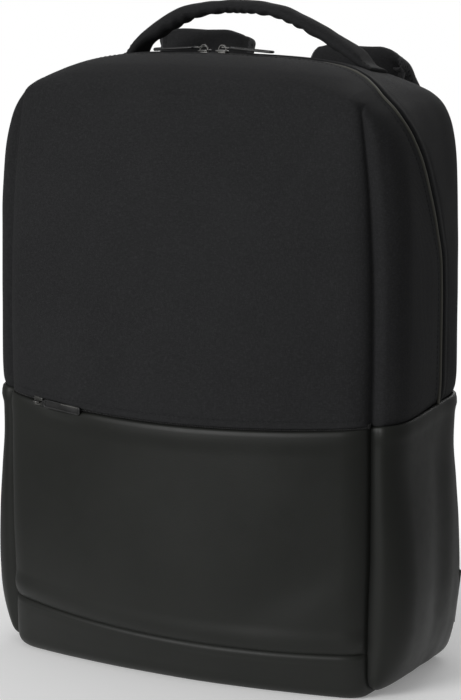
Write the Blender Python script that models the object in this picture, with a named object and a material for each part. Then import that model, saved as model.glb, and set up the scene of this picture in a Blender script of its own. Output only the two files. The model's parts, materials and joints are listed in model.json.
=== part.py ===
"""A laptop backpack standing closed on its base, in metres.

+Z is up, the front faces -Y and +X is the right-hand side seen from the front. The origin lies
on the floor at the middle of the base. Each cloth panel is a sheet thickened towards a small box
in the middle of the bag, so the walls of neighbouring panels meet in a mitre at their seam.
"""
import bpy
import bmesh
from math import cos, pi, radians, sin, sqrt
import numpy as np
from mathutils import Matrix, Vector

# Body
HEIGHT = 0.448              # floor to the top of the arch
DEPTH = 0.127               # front seam to back seam
SEAM_HALF = 0.149           # middle to the front seam
SIDE_STAND = 0.009          # how far the side wall stands out from that seam, without its puff
SIDE_PUFF = 0.009           # how far the side wall puffs out in front of the main zip
PUFF_POWER = 0.45           # below 1 the puff is fullest towards the front
BULGE = 0.035               # how far the middle of the front stands out from its seams
ROLL = 0.024                # depth over which a side wall rolls into its front and back seams
FRONT_ROLL = 0.018          # width over which the front rolls into its side seams
FRONT_ROLL_SHARE = 0.25     # share of the bulge that this roll takes up
BASE_HEIGHT = 0.197         # floor to the seam between cloth and coated cloth at the front edge
BASE_RISE = 0.005           # how much that seam rises towards the back
BAND_HEIGHT = 0.037         # floor to the seam above the front band
BAND_SLOPE = 0.008          # how much lower the band's seam runs at the right than at the left
SEAM_LIFT = 0.005           # floor to the lower end of the side seams
LINE_DIP = 0.006            # how far a level seam dips across the middle of the front
BASE_RADIUS = 0.010         # front and back lower edges
BASE_ROLL = 0.045           # height over which a side wall rolls under the base
BACK_TUCK = 0.005           # how far the wall pulls in at the back seam
BACK_FALL = 0.0125          # how far the top falls from the main zip to the back seam
CLOTH = 0.002               # wall of woven and of coated cloth
CLEARANCE = 0.0004          # gap left at each seam and seat
CORE_DEPTH = 0.044          # from the front, back and sides to the core the walls thicken to
CORE_DROP = 0.052           # from the top to that core
SLANT_RATIO = 0.62          # least cosine between a wall's normal and its way inwards

# Back panel
PAD_THICKNESS = 0.009
PAD_RISE = 0.004
PAD_EDGE = 0.014
PAD_INSET = 0.0010

# Main zip
ZIP_OPENING = 0.008
TAPE_WIDTH = 0.020
TAPE_THICKNESS = 0.0009
TAPE_SEAT = 0.0006
COIL_WIDTH = 0.0032
COIL_HEIGHT = 0.0012
COIL_SHIFT = 0.0018
COIL_SLOPE = 0.0004
PIPING_RADIUS = 0.0015
PIPING_SINK = 0.0008

# Front pocket zip
POCKET_OPENING = 0.005
POCKET_TAPE_WIDTH = 0.016

# Zip sliders and pulls
SLIDER_LENGTH = 0.0080
SLIDER_WIDTH = 0.0072
SLIDER_PLATE = 0.0011
CHEEK = 0.0011
CHEEK_LENGTH = 0.0044
FOOT_LENGTH = 0.0064
PIN_RADIUS = 0.0007
PIN_FIT = 0.0003
EYE_WALL = 0.0007
EYE_WIDTH = 0.0030
PULL_WIDTH = 0.0048
PULL_THICKNESS = 0.0018
PULL_ROUND = 0.0017
PULL_NECK = 0.0016
MAIN_PULL_LENGTH = 0.041
POCKET_PULL_LENGTH = 0.042
SLIDER_LEFT_X = -0.0190
SLIDER_RIGHT_X = -0.0035
POCKET_SLIDER_X = -0.113

# Handle
HANDLE_Y = 0.030
HANDLE_HALF_SPAN = 0.106
HANDLE_RISE = 0.0457
HANDLE_WIDTH = 0.030
HANDLE_THICKNESS = 0.0095
SEAT_ROW_SHARE = 0.2        # rows between the points that give the cloth's slope there
HANDLE_SEAT = 0.0007        # gap between the sewn ends and the curved cloth under them

# Shoulder straps
STRAP_ROOT_X = 0.063
STRAP_ROOT_Z = 0.385
STRAP_TIP_Z = 0.150
STRAP_CREST_LEFT = 0.4525
STRAP_CREST_RIGHT = 0.4440
STRAP_SPREAD = 0.026
STRAP_REACH = 0.044
STRAP_WIDTH = 0.078
STRAP_THICKNESS = 0.012
LOCK_WIDTH = 0.034
LOCK_LENGTH = 0.026
LOCK_THICKNESS = 0.005
LOCK_SLOT = 0.0036
LOCK_EDGE = 0.001
WEBBING_WIDTH = 0.025
WEBBING_THICKNESS = 0.0015
WEBBING_REACH = 0.009       # straight run past the buckle and past the tab
TAB_ROOT_Z = 0.046
TAB_ROOT_WIDTH = 0.048
TAB_LENGTH = 0.036
TAB_THICKNESS = 0.0026
TAB_WAIST = 0.031
TAB_FOLD = 0.6              # share of the tab's length at its waist
TAB_WAY = (0.60, 0.72, 0.35)   # inwards, backwards and upwards

# The coated side from the floor up to its seam: shares of BASE_HEIGHT, SEAM_HALF and SIDE_HALF
BASE_SECTIONS = (
    # height, seam, side
    (0.00, 0.990, 1.006),
    (0.19, 0.990, 1.020),
    (0.37, 0.994, 1.031),
    (0.53, 1.000, 1.024),
    (0.69, 1.000, 1.006),
    (0.85, 0.999, 0.988),
    (1.00, 0.998, 0.994),
)

# The cloth sides and top from the coated seam to the middle of the top: the front edge (shares
# of SEAM_HALF and of the height above the base), the crown beside the zip (shares of SIDE_HALF
# and of that height), the zip's place and the depth of the roll (shares of DEPTH), and how
# much of SIDE_PUFF and BACK_FALL applies
ARCH_SECTIONS = (
    # front_x, front_z, crown_x, crown_z, zip_y, roll, puff, fall
    (0.998, 0.000, 0.994, 0.000, 0.152, 0.19, 1.0, 0.00),
    (1.000, 0.090, 1.000, 0.090, 0.160, 0.19, 1.0, 0.00),
    (1.003, 0.190, 1.000, 0.190, 0.162, 0.19, 1.0, 0.00),
    (1.002, 0.300, 1.000, 0.300, 0.163, 0.19, 1.0, 0.00),
    (0.999, 0.420, 1.000, 0.420, 0.147, 0.19, 1.0, 0.00),
    (0.991, 0.520, 0.997, 0.525, 0.074, 0.19, 1.0, 0.00),
    (0.981, 0.615, 0.992, 0.625, -0.008, 0.20, 0.9, 0.00),
    (0.968, 0.700, 0.985, 0.715, -0.092, 0.21, 0.8, 0.00),
    (0.953, 0.775, 0.965, 0.795, -0.166, 0.23, 0.6, 0.04),
    (0.940, 0.835, 0.924, 0.860, -0.209, 0.26, 0.3, 0.12),
    (0.930, 0.872, 0.868, 0.902, -0.200, 0.29, 0.0, 0.30),
    (0.870, 0.892, 0.800, 0.932, -0.154, 0.35, 0.0, 0.55),
    (0.785, 0.905, 0.728, 0.953, -0.100, 0.40, 0.0, 0.72),
    (0.665, 0.918, 0.622, 0.976, -0.066, 0.43, 0.0, 0.86),
    (0.500, 0.925, 0.470, 0.991, -0.045, 0.45, 0.0, 0.95),
    (0.265, 0.930, 0.250, 0.998, -0.039, 0.46, 0.0, 1.00),
    (0.000, 0.931, 0.000, 1.000, -0.039, 0.46, 0.0, 1.00),
)
CORNER_ROW = 10             # the row where the front seam ends and the front folds over the top

# How far the front stands out up its height: shares of HEIGHT and BULGE
FRONT_SECTIONS = (
    # height, bulge
    (0.00, 0.56),
    (0.04, 0.74),
    (0.08, 0.84),
    (0.22, 0.98),
    (0.42, 1.00),
    (0.60, 0.88),
    (0.80, 0.58),
    (0.90, 0.38),
    (1.00, 0.26),
)

# Each half of the handle, from its sewn end to the top of its arch, which leans to the left
HANDLE_SECTIONS = (
    # across, left rise, right rise, width, thickness
    (1.00, None, None, 1.00, 0.35),
    (0.93, None, None, 0.96, 0.50),
    (0.84, 0.37, 0.28, 0.84, 0.85),
    (0.69, 0.62, 0.47, 0.72, 1.00),
    (0.49, 0.86, 0.71, 0.68, 1.00),
    (0.26, 0.97, 0.92, 0.68, 1.00),
    (0.00, 1.00, 1.00, 0.68, 1.00),
)

# A shoulder strap from its sewn root over its crest to its tip: shares of STRAP_SPREAD,
# STRAP_REACH, the height from tip to crest, STRAP_WIDTH and STRAP_THICKNESS
STRAP_SECTIONS = (
    # across, behind, height, width, thickness
    (0.00, 0.00, None, 1.00, 0.40),
    (0.00, 0.01, 0.900, 1.00, 0.70),
    (0.02, 0.06, 0.970, 0.99, 0.95),
    (0.08, 0.21, 1.000, 0.97, 1.00),
    (0.18, 0.45, 0.985, 0.93, 1.00),
    (0.30, 0.71, 0.935, 0.88, 1.00),
    (0.45, 0.90, 0.850, 0.83, 1.00),
    (0.68, 1.00, 0.720, 0.79, 1.00),
    (0.88, 0.98, 0.570, 0.77, 1.00),
    (1.00, 0.90, 0.410, 0.74, 1.00),
    (1.00, 0.80, 0.250, 0.68, 0.95),
    (0.97, 0.72, 0.100, 0.58, 0.80),
    (0.95, 0.68, 0.000, 0.40, 0.42),
)

# Sampling
EDGE_STEPS = (0.0, 0.03, 0.12, 0.35, 0.75, 1.0)
FOLD_STEPS = (0.04, 0.14, 0.30, 0.55, 1.0)
GUSSET_STEPS = (0.0, 0.35, 0.7, 0.88, 1.0)
BASE_STEPS = (0.0, 0.22, 0.42, 0.60, 0.80, 1.0)
ARC_STEPS = 3
SECTION_SIDES = 10
SECTION_POWER = 0.55        # 1 gives a strip an oval section, below 1 squarer
BASE_LIFT_SHARE = 0.14      # share of the half width over which the base lifts to its seams
SIDES = (("left", -1.0), ("right", 1.0))

SIDE_HALF = SEAM_HALF + SIDE_STAND
EYE_RADIUS = PIN_RADIUS + PIN_FIT + EYE_WALL
TAPE_DEPTH = CLOTH + TAPE_SEAT

ARCH = np.array(ARCH_SECTIONS)
LAST_ROW = len(ARCH_SECTIONS) - 1
ARCH_RISE = HEIGHT - BASE_HEIGHT
FRONT_Y = -DEPTH / 2
BACK_Y = DEPTH / 2

# The box that every wall is thickened towards
CORE_LOW = Vector((-SEAM_HALF + CORE_DEPTH, FRONT_Y + CORE_DEPTH, CORE_DEPTH))
CORE_HIGH = Vector((SEAM_HALF - CORE_DEPTH, BACK_Y - CORE_DEPTH, HEIGHT - CORE_DROP))


def clear_scene():
    for old in list(bpy.data.objects):
        bpy.data.objects.remove(old, do_unlink=True)


def new_collection(name):
    collection = bpy.data.collections.new(name)
    bpy.context.scene.collection.children.link(collection)
    return collection


def new_material(name, colour, roughness, metallic=0.0):
    material = bpy.data.materials.new(name)
    material.use_nodes = True
    shader = material.node_tree.nodes["Principled BSDF"]
    shader.inputs["Base Color"].default_value = (*colour, 1.0)
    shader.inputs["Roughness"].default_value = roughness
    shader.inputs["Metallic"].default_value = metallic
    return material


def place(name, mesh, material, collection):
    piece = bpy.data.objects.new(name, mesh)
    collection.objects.link(piece)
    mesh.materials.append(material)
    mesh.shade_smooth()
    mesh.set_sharp_from_angle(angle=radians(40))
    return piece


def quarter(t):
    """A quarter circle: steep at 0 and level at 1."""
    t = min(max(t, 0.0), 1.0)
    return sqrt(1.0 - (1.0 - t) ** 2)


def between(table, column, height):
    """The value of a table's column at a share of the height, which is its first column."""
    rows = np.array(table)
    return float(np.interp(height, rows[:, 0], rows[:, column]))


def seam_half(z):
    """Half the width between the front seams at height z."""
    if z < BASE_HEIGHT:
        return SEAM_HALF * between(BASE_SECTIONS, 1, z / BASE_HEIGHT)
    rows = ARCH[:CORNER_ROW + 1]
    return SEAM_HALF * float(np.interp((z - BASE_HEIGHT) / ARCH_RISE, rows[:, 1], rows[:, 0]))


def side_half(z):
    """Half the width of the coated base at its fullest, at height z."""
    return SIDE_HALF * between(BASE_SECTIONS, 2, z / BASE_HEIGHT)


def arch_row(row):
    """The arch's sizes at a row, which may lie between two rows of the table. Rows past the
    middle of the top run down the other side, with x reversed."""
    side = 1.0
    if row > LAST_ROW:
        row, side = 2 * LAST_ROW - row, -1.0
    low = min(int(row), LAST_ROW - 1)
    share = row - low
    values = ARCH[low] * (1.0 - share) + ARCH[low + 1] * share
    front_x, front_z, crown_x, crown_z, middle, roll, puff, fall = values
    return {
        "side": side,
        "front": Vector((side * front_x * SEAM_HALF, 0.0, BASE_HEIGHT + front_z * ARCH_RISE)),
        "crown": Vector((side * crown_x * SIDE_HALF, 0.0, BASE_HEIGHT + crown_z * ARCH_RISE)),
        "zip_y": middle * DEPTH,
        "roll": roll * DEPTH,
        "puff": puff * SIDE_PUFF,
        "fall": fall * BACK_FALL,
    }


def row_across(x):
    """The row whose crown lies at this place across the top."""
    rows = list(range(LAST_ROW, CORNER_ROW - 1, -1))
    places = [arch_row(row)["crown"].x for row in rows]
    row = float(np.interp(abs(x), places, rows))
    return row if x >= 0.0 else 2 * LAST_ROW - row


def inward(point):
    """The direction in which a wall is thickened at a point of the outer surface."""
    nearest = [min(max(c, low), high) for c, low, high in zip(point, CORE_LOW, CORE_HIGH)]
    return (Vector(nearest) - point).normalized()


def front_y(x, z):
    """Depth of the front face at a place across the bag and up it."""
    half = seam_half(z)
    share = min(abs(x) / half, 1.0)
    stand = BULGE * between(FRONT_SECTIONS, 1, z / HEIGHT)
    roll = quarter((1.0 - share) * half / FRONT_ROLL)
    dome = 1.0 - share ** 2
    return FRONT_Y - stand * (FRONT_ROLL_SHARE * roll + (1.0 - FRONT_ROLL_SHARE) * dome)


def fold_y(row):
    """Where the arch starts: at the seam on the sides, at the bulging front over the top."""
    front = arch_row(row)["front"]
    if min(row, 2 * LAST_ROW - row) <= CORNER_ROW:
        return FRONT_Y
    return front_y(front.x, front.z)


def side_puff(y):
    """How much of its puff a side wall has at depth y: it is fullest in the front half."""
    return sin(pi * min(max((y - FRONT_Y) / DEPTH, 0.0), 1.0) ** PUFF_POWER)


def arch_point(row, y):
    """A point of the cloth sides and top at depth y."""
    at = arch_row(row)
    crown = at["crown"]
    if y < 0.0:
        point = at["front"].lerp(crown, quarter((y - fold_y(row)) / at["roll"]))
    else:
        out = Vector((-inward(crown).x, 0.0, -inward(crown).z)).normalized()
        point = crown - out * BACK_TUCK * (1.0 - quarter((BACK_Y - y) / ROLL))
    point.x += at["side"] * at["puff"] * side_puff(y)
    if y > at["zip_y"]:
        point.z -= at["fall"] * (y - at["zip_y"]) / (BACK_Y - at["zip_y"])
    point.y = y
    return point


def zip_y(row):
    return arch_row(row)["zip_y"]


def coated_seam(y):
    """Height of the seam between the cloth and the coated base on a side, at depth y."""
    return BASE_HEIGHT + BASE_RISE * (y - FRONT_Y) / DEPTH


def base_start(z):
    """Depth at which the coated side starts, at height z: its lower corners are round."""
    drop = min(max(SEAM_LIFT + BASE_RADIUS - z, 0.0), BASE_RADIUS)
    return FRONT_Y + BASE_RADIUS - sqrt(BASE_RADIUS ** 2 - drop ** 2)


def base_point(y, z, side):
    """A point of the coated side at depth y and height z."""
    low = seam_half(z)
    rise = quarter((z - SEAM_LIFT) / BASE_ROLL)
    full = low + (side_half(z) - low) * rise
    if y < 0.0:
        x = low + (full - low) * quarter((y - base_start(z)) / ROLL)
    else:
        back = low + (side_half(z) - BACK_TUCK - low) * rise
        x = back + (full - back) * quarter((-base_start(z) - y) / ROLL)
    x += SIDE_PUFF * side_puff(y) * rise
    return Vector((side * x, y, z))


def back_half(z):
    """Half the width between the back seams at height z."""
    if z < coated_seam(BACK_Y):
        return base_point(BACK_Y, z, 1.0).x
    ends = [arch_point(row, BACK_Y) for row in range(CORNER_ROW + 1)]
    return float(np.interp(z, [end.z for end in ends], [end.x for end in ends]))


def set_in(point, depth):
    return point + inward(point) * depth


def line_height(height, x):
    """Height of a level seam of the front, which dips across the middle."""
    return height - LINE_DIP * (1.0 - (x / SEAM_HALF) ** 2)


def sheet(name, rows):
    """A mesh of quads through rows of points, facing away from the middle of the bag."""
    count = len(rows[0])
    points = [point for row in rows for point in row]
    faces = []
    for i in range(len(rows) - 1):
        for j in range(count - 1):
            corner = i * count + j
            faces.append((corner, corner + 1, corner + count + 1, corner + count))
    mesh = bpy.data.meshes.new(name)
    mesh.from_pydata(points, [], faces)
    mesh.update()
    return mesh


def shell(name, rows, material, collection, thickness=CLOTH):
    """A panel: the sheet through the rows, thickened inwards."""
    mesh = sheet(name, rows)
    work = bmesh.new()
    work.from_mesh(mesh)
    work.normal_update()
    facing = sum(face.normal.dot(inward(face.calc_center_median())) for face in work.faces)
    if facing > 0.0:
        bmesh.ops.reverse_faces(work, faces=work.faces[:])
        work.normal_update()
    source = work.verts.layers.int.new("source")
    offsets = []
    for vert in work.verts:
        vert[source] = vert.index
        way = inward(vert.co)
        offsets.append(way * thickness / max(-vert.normal.dot(way), SLANT_RATIO))
    extruded = bmesh.ops.extrude_face_region(work, geom=work.faces[:])
    for item in extruded["geom"]:
        if isinstance(item, bmesh.types.BMVert):
            item.co += offsets[item[source]]
    bmesh.ops.recalc_face_normals(work, faces=work.faces[:])
    work.verts.layers.int.remove(source)
    work.to_mesh(mesh)
    work.free()
    return place(name, mesh, material, collection)


def loft(name, stations, material, collection, sides=SECTION_SIDES):
    """A padded strip through stations of centre, across, outwards, width and thickness."""
    work = bmesh.new()
    rings = []
    for centre, across, out, width, thickness in stations:
        ring = []
        for k in range(sides):
            angle = 2.0 * pi * (k + 0.5) / sides
            wide = np.sign(cos(angle)) * abs(cos(angle)) ** SECTION_POWER
            thick = np.sign(sin(angle)) * abs(sin(angle)) ** SECTION_POWER
            ring.append(work.verts.new(
                centre + across * (width / 2 * wide) + out * (thickness / 2 * thick)))
        rings.append(ring)
    for first, second in zip(rings, rings[1:]):
        for k in range(sides):
            after = (k + 1) % sides
            work.faces.new((first[k], first[after], second[after], second[k]))
    work.faces.new(rings[0])
    work.faces.new(rings[-1])
    bmesh.ops.recalc_face_normals(work, faces=work.faces[:])
    mesh = bpy.data.meshes.new(name)
    work.to_mesh(mesh)
    work.free()
    return place(name, mesh, material, collection)


def strip_stations(centres, widths, thicknesses, hints):
    """Stations along a centre line, each square to it and close to its hint across."""
    stations = []
    for i, centre in enumerate(centres):
        before = centres[max(i - 1, 0)]
        after = centres[min(i + 1, len(centres) - 1)]
        along = (after - before).normalized()
        across = (hints[i] - along * hints[i].dot(along)).normalized()
        stations.append((centre, across, along.cross(across), widths[i], thicknesses[i]))
    return stations


def tube(name, points, radius, material, collection):
    """A thin cord of cloth along points, as a bevelled curve with filled caps."""
    curve = bpy.data.curves.new(name, "CURVE")
    curve.dimensions = "3D"
    curve.bevel_depth = radius
    curve.bevel_resolution = 1
    curve.use_fill_caps = True
    spline = curve.splines.new("POLY")
    spline.points.add(len(points) - 1)
    for target, point in zip(spline.points, points):
        target.co = (*point, 1.0)
    curve.materials.append(material)
    piece = bpy.data.objects.new(name, curve)
    collection.objects.link(piece)
    return piece


def spaced(start, end, steps):
    return [start + (end - start) * step for step in steps]


def both_ends(steps):
    """Steps from 0 to 1 that crowd towards both ends."""
    half = [step / 2.0 for step in steps]
    return half + [1.0 - step for step in reversed(half[:-1])]


def face_columns():
    """Places across the front, from the left seam to the right one, as shares of its half."""
    tops = [arch_row(row)["front"].x for row in range(CORNER_ROW, LAST_ROW + 1)]
    shares = [x / tops[0] for x in tops] + [0.98]
    shares = sorted(set(shares))
    return [-share for share in reversed(shares[1:])] + shares


def fold_row(share):
    """The arch row at which the front's column with this share meets the fold."""
    rows = list(range(LAST_ROW, CORNER_ROW - 1, -1))
    tops = [arch_row(row)["front"].x / arch_row(CORNER_ROW)["front"].x for row in rows]
    row = float(np.interp(abs(share), tops, rows))
    return row if share >= 0.0 else 2 * LAST_ROW - row


def inset_share(share, half):
    """A column's share of a half width, with the outermost ones held clear of the seams."""
    return share * (1.0 - CLEARANCE / 2 / half)


def face_point(share, z):
    """A point of the front at a column's share of the half width and height z."""
    x = inset_share(share, seam_half(z)) * seam_half(z)
    return Vector((x, front_y(x, z), z))


def front_panel(material, collection):
    """The cloth front, from the pocket zip up, over the fold and back to the main zip."""
    foot = BASE_HEIGHT + POCKET_OPENING / 2
    heights = [arch_row(row)["front"].z for row in range(CORNER_ROW + 1)]
    climbs = [(z - BASE_HEIGHT) / (heights[-1] - BASE_HEIGHT) for z in heights]
    columns = []
    for share in face_columns():
        row = fold_row(share)
        low = line_height(foot, share * SEAM_HALF)
        high = arch_row(row)["front"].z
        column = [face_point(share, z) for z in spaced(low, high, climbs)]
        edge = zip_y(row) - ZIP_OPENING / 2
        for y in spaced(fold_y(row), edge, FOLD_STEPS):
            point = arch_point(row, y)
            point.x *= 1.0 - CLEARANCE / 2 / SEAM_HALF
            column.append(point)
        columns.append(column)
    return shell("front_panel", columns, material, collection)


def side_panel(name, side, material, collection):
    """A cloth side, from the front seam back to the main zip."""
    rows = []
    for row in range(CORNER_ROW + 1):
        edge = zip_y(row) - ZIP_OPENING / 2
        line = []
        for y in spaced(FRONT_Y, edge, EDGE_STEPS):
            point = arch_point(row, y)
            if row == 0:
                point.z = coated_seam(y) + CLEARANCE / 2
            if row == CORNER_ROW:
                point += (arch_point(row - 1, y) - point).normalized() * CLEARANCE
            point.x = side * (point.x + CLEARANCE / 2)
            line.append(point)
        rows.append(line)
    return shell(name, rows, material, collection)


def rear_gusset(material, collection):
    """The cloth strip behind the main zip, from side to side over the top."""
    rows = []
    for row in range(2 * LAST_ROW + 1):
        edge = zip_y(row) + ZIP_OPENING / 2
        line = [arch_point(row, y) for y in spaced(edge, BACK_Y, GUSSET_STEPS)]
        if row in (0, 2 * LAST_ROW):
            for point in line:
                point.z = coated_seam(point.y) + CLEARANCE / 2
        rows.append(line)
    return shell("rear_gusset", rows, material, collection)


def band_seam(x):
    """Height of the seam above the front band."""
    return line_height(BAND_HEIGHT, x) - BAND_SLOPE / 2 * x / SEAM_HALF


def pocket_panel(material, collection):
    """The coated front of the pocket, between the pocket zip and the band."""
    top = BASE_HEIGHT - POCKET_OPENING / 2
    columns = []
    for share in face_columns():
        low = band_seam(share * SEAM_HALF) + CLEARANCE / 2
        high = line_height(top, share * SEAM_HALF)
        columns.append([face_point(share, z) for z in spaced(low, high, BASE_STEPS)])
    return shell("pocket_panel", columns, material, collection)


def base_panel(material, collection):
    """The front band, which turns under at its lower edge and runs back as the base. The base
    rests on the floor and lifts towards the side seams."""
    columns = []
    for share in face_columns():
        half = seam_half(SEAM_LIFT)
        flat = quarter((1.0 - abs(share)) / BASE_LIFT_SHARE)
        low = SEAM_LIFT * (1.0 - flat)
        top = band_seam(share * SEAM_HALF) - CLEARANCE / 2
        column = [face_point(share, z) for z in (top, (top + low + BASE_RADIUS) / 2)]
        x = inset_share(share, half) * half
        front = front_y(x, low + BASE_RADIUS)
        for k in range(ARC_STEPS + 1):
            angle = pi / 2 * k / ARC_STEPS
            column.append(Vector((x, front + BASE_RADIUS * (1.0 - cos(angle)),
                                  low + BASE_RADIUS * (1.0 - sin(angle)))))
        column.append(Vector((x, 0.0, low)))
        for k in range(ARC_STEPS + 1):
            angle = pi / 2 * k / ARC_STEPS
            column.append(Vector((x, BACK_Y - BASE_RADIUS * (1.0 - sin(angle)),
                                  low + BASE_RADIUS * (1.0 - cos(angle)))))
        columns.append(column)
    return shell("base_panel", columns, material, collection)


def side_heights(y):
    """Heights of the coated side's rows at depth y, from the round corner to the top seam."""
    arc = [SEAM_LIFT + BASE_RADIUS * (1.0 - sin(pi / 2 * k / ARC_STEPS))
           for k in range(ARC_STEPS, -1, -1)]
    top = coated_seam(y) - CLEARANCE / 2
    return arc + spaced(BAND_HEIGHT, top, BASE_STEPS)


def side_base(name, side, material, collection):
    """A coated side of the base."""
    rows = []
    for number, height in enumerate(side_heights(FRONT_Y)):
        line = []
        for y in spaced(base_start(height), -base_start(height), both_ends(EDGE_STEPS)):
            point = base_point(y, side_heights(y)[number], 1.0)
            point.x = side * (point.x + CLEARANCE / 2)
            line.append(point)
        rows.append(line)
    return shell(name, rows, material, collection)


def back_panel(material, collection):
    """The padded panel that lies against the wearer's back."""
    foot = SEAM_LIFT + BASE_RADIUS + PAD_INSET
    heights = [z for z in side_heights(BACK_Y) if z > foot]
    heights += [arch_point(row, BACK_Y).z for row in range(1, CORNER_ROW + 1)]
    shoulder = heights[-1]
    heights = [foot, foot + PAD_EDGE / 4] + heights[:-1] + [shoulder - PAD_EDGE / 4, shoulder]
    climbs = [(z - foot) / (shoulder - foot) for z in heights]
    columns = []
    for share in face_columns():
        top = arch_point(fold_row(share), BACK_Y).z - PAD_INSET
        column = []
        for z in spaced(foot, top, climbs):
            half = back_half(min(z, shoulder)) - PAD_INSET
            x = share * half
            edge = min(half - abs(x), top - z, z - foot)
            column.append(Vector((x, BACK_Y + PAD_RISE * quarter(edge / PAD_EDGE), z)))
        columns.append(column)
    return shell("back_panel", columns, material, collection, PAD_THICKNESS)


def main_zip(material, collection):
    """The zip's two tapes and its closed coil, under the edges of the cloth beside it."""
    low, high = COIL_SHIFT - COIL_WIDTH / 2, COIL_SHIFT + COIL_WIDTH / 2
    section = (
        (-TAPE_WIDTH / 2, 0.0), (low - COIL_SLOPE, 0.0), (low, COIL_HEIGHT),
        (high, COIL_HEIGHT), (high + COIL_SLOPE, 0.0), (TAPE_WIDTH / 2, 0.0),
    )
    rows = []
    for row in range(2 * LAST_ROW + 1):
        line = []
        for across, height in section:
            point = arch_point(row, zip_y(row) + across)
            if row in (0, 2 * LAST_ROW):
                point.z = coated_seam(point.y) + CLEARANCE / 2
            line.append(set_in(point, TAPE_DEPTH - height))
        rows.append(line)
    return shell("main_zip", rows, material, collection, TAPE_THICKNESS)


def zip_piping(material, collection):
    """The coated piping along the front edge of the main zip."""
    points = []
    for row in range(2 * LAST_ROW + 1):
        y = zip_y(row) - ZIP_OPENING / 2 + CLEARANCE + PIPING_RADIUS
        point = arch_point(row, y)
        if row in (0, 2 * LAST_ROW):
            point.z = coated_seam(y) + CLEARANCE
        points.append(set_in(point, PIPING_SINK))
    return tube("zip_piping", points, PIPING_RADIUS, material, collection)


def pocket_line(x, offset):
    """A point of the front at a distance above the middle of the pocket's opening."""
    z = line_height(BASE_HEIGHT, x) + offset
    return Vector((x, front_y(x, z), z))


def pocket_zip(material, collection):
    """The pocket's zip, behind the edges of the front panel and the pocket panel."""
    section = (
        (-POCKET_TAPE_WIDTH / 2, 0.0), (-COIL_WIDTH / 2 - COIL_SLOPE, 0.0),
        (-COIL_WIDTH / 2, COIL_HEIGHT), (COIL_WIDTH / 2, COIL_HEIGHT),
        (COIL_WIDTH / 2 + COIL_SLOPE, 0.0), (POCKET_TAPE_WIDTH / 2, 0.0),
    )
    columns = []
    for share in face_columns():
        half = seam_half(BASE_HEIGHT)
        x = inset_share(share, half) * half
        line = []
        for offset, height in section:
            line.append(set_in(pocket_line(x, offset), TAPE_DEPTH - height))
        columns.append(line)
    return shell("pocket_zip", columns, material, collection, TAPE_THICKNESS)


def solid_box(low, high):
    """A closed box between two corners."""
    work = bmesh.new()
    bmesh.ops.create_cube(work, size=1.0)
    low, high = Vector(low), Vector(high)
    size = high - low
    for vert in work.verts:
        vert.co = Vector([c * s for c, s in zip(vert.co, size)]) + (low + high) / 2
    return work


def solid_pin(radius, length, sides=16):
    """A closed cylinder along Y."""
    work = bmesh.new()
    bmesh.ops.create_cone(work, cap_ends=True, segments=sides, radius1=radius, radius2=radius,
                          depth=length)
    bmesh.ops.rotate(work, verts=work.verts[:], matrix=Matrix.Rotation(pi / 2, 3, "X"))
    return work


def mesh_from(work, name):
    mesh = bpy.data.meshes.new(name)
    bmesh.ops.recalc_face_normals(work, faces=work.faces[:])
    work.to_mesh(mesh)
    work.free()
    return mesh


def compound(name, matrix, steps, material, collection, cutters):
    """A solid made by joining to the first shape, or cutting from it, each of the others."""
    body = place(name, mesh_from(steps[0][1], name), material, collection)
    body.matrix_world = matrix
    for number, (operation, work) in enumerate(steps[1:]):
        tool = bpy.data.objects.new(f"{name}_tool_{number}", mesh_from(work, name + "_tool"))
        cutters.objects.link(tool)
        tool.matrix_world = matrix
        tool.display_type = "WIRE"
        tool.hide_render = True
        boolean = body.modifiers.new(f"step_{number}", "BOOLEAN")
        boolean.operation = operation
        boolean.solver = "EXACT"
        boolean.object = tool
    return body


def frame_matrix(along, across, out, origin):
    """Local X runs along the zip, Y across it and Z out of the bag."""
    rows = [(a, b, c) for a, b, c in zip(along, across, out)]
    return Matrix.Translation(origin) @ Matrix(rows).to_4x4()


def pin_height(piping):
    """Height of a slider's pin over the cloth beside the zip."""
    return piping + CLEARANCE + SLIDER_PLATE + CLEARANCE + EYE_RADIUS


def slider(name, frame, height, material, collection, cutters):
    """A slider whose frame has its origin on its pin: a plate over the zip, a foot down to
    the coil, two cheeks and the pin between them."""
    plate = -EYE_RADIUS - CLEARANCE
    foot = -height - (TAPE_DEPTH - COIL_HEIGHT) + CLEARANCE
    inner = EYE_WIDTH / 2 + CLEARANCE
    half_length, half_width = SLIDER_LENGTH / 2, SLIDER_WIDTH / 2
    neck = COIL_WIDTH / 2 - CLEARANCE / 2
    steps = [("", solid_box((-half_length, -half_width, plate - SLIDER_PLATE),
                            (half_length, half_width, plate)))]
    steps.append(("UNION", solid_box((-FOOT_LENGTH / 2, -neck, foot),
                                     (FOOT_LENGTH / 2, neck, plate - SLIDER_PLATE / 2))))
    for side in (-1.0, 1.0):
        near, far = sorted((side * inner, side * (inner + CHEEK)))
        steps.append(("UNION", solid_box(
            (-CHEEK_LENGTH / 2, near, plate - SLIDER_PLATE / 2),
            (CHEEK_LENGTH / 2, far, PIN_RADIUS + EYE_WALL))))
    steps.append(("UNION", solid_pin(PIN_RADIUS, 2.0 * inner + CHEEK)))
    return compound(name, frame, steps, material, collection, cutters)


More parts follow.
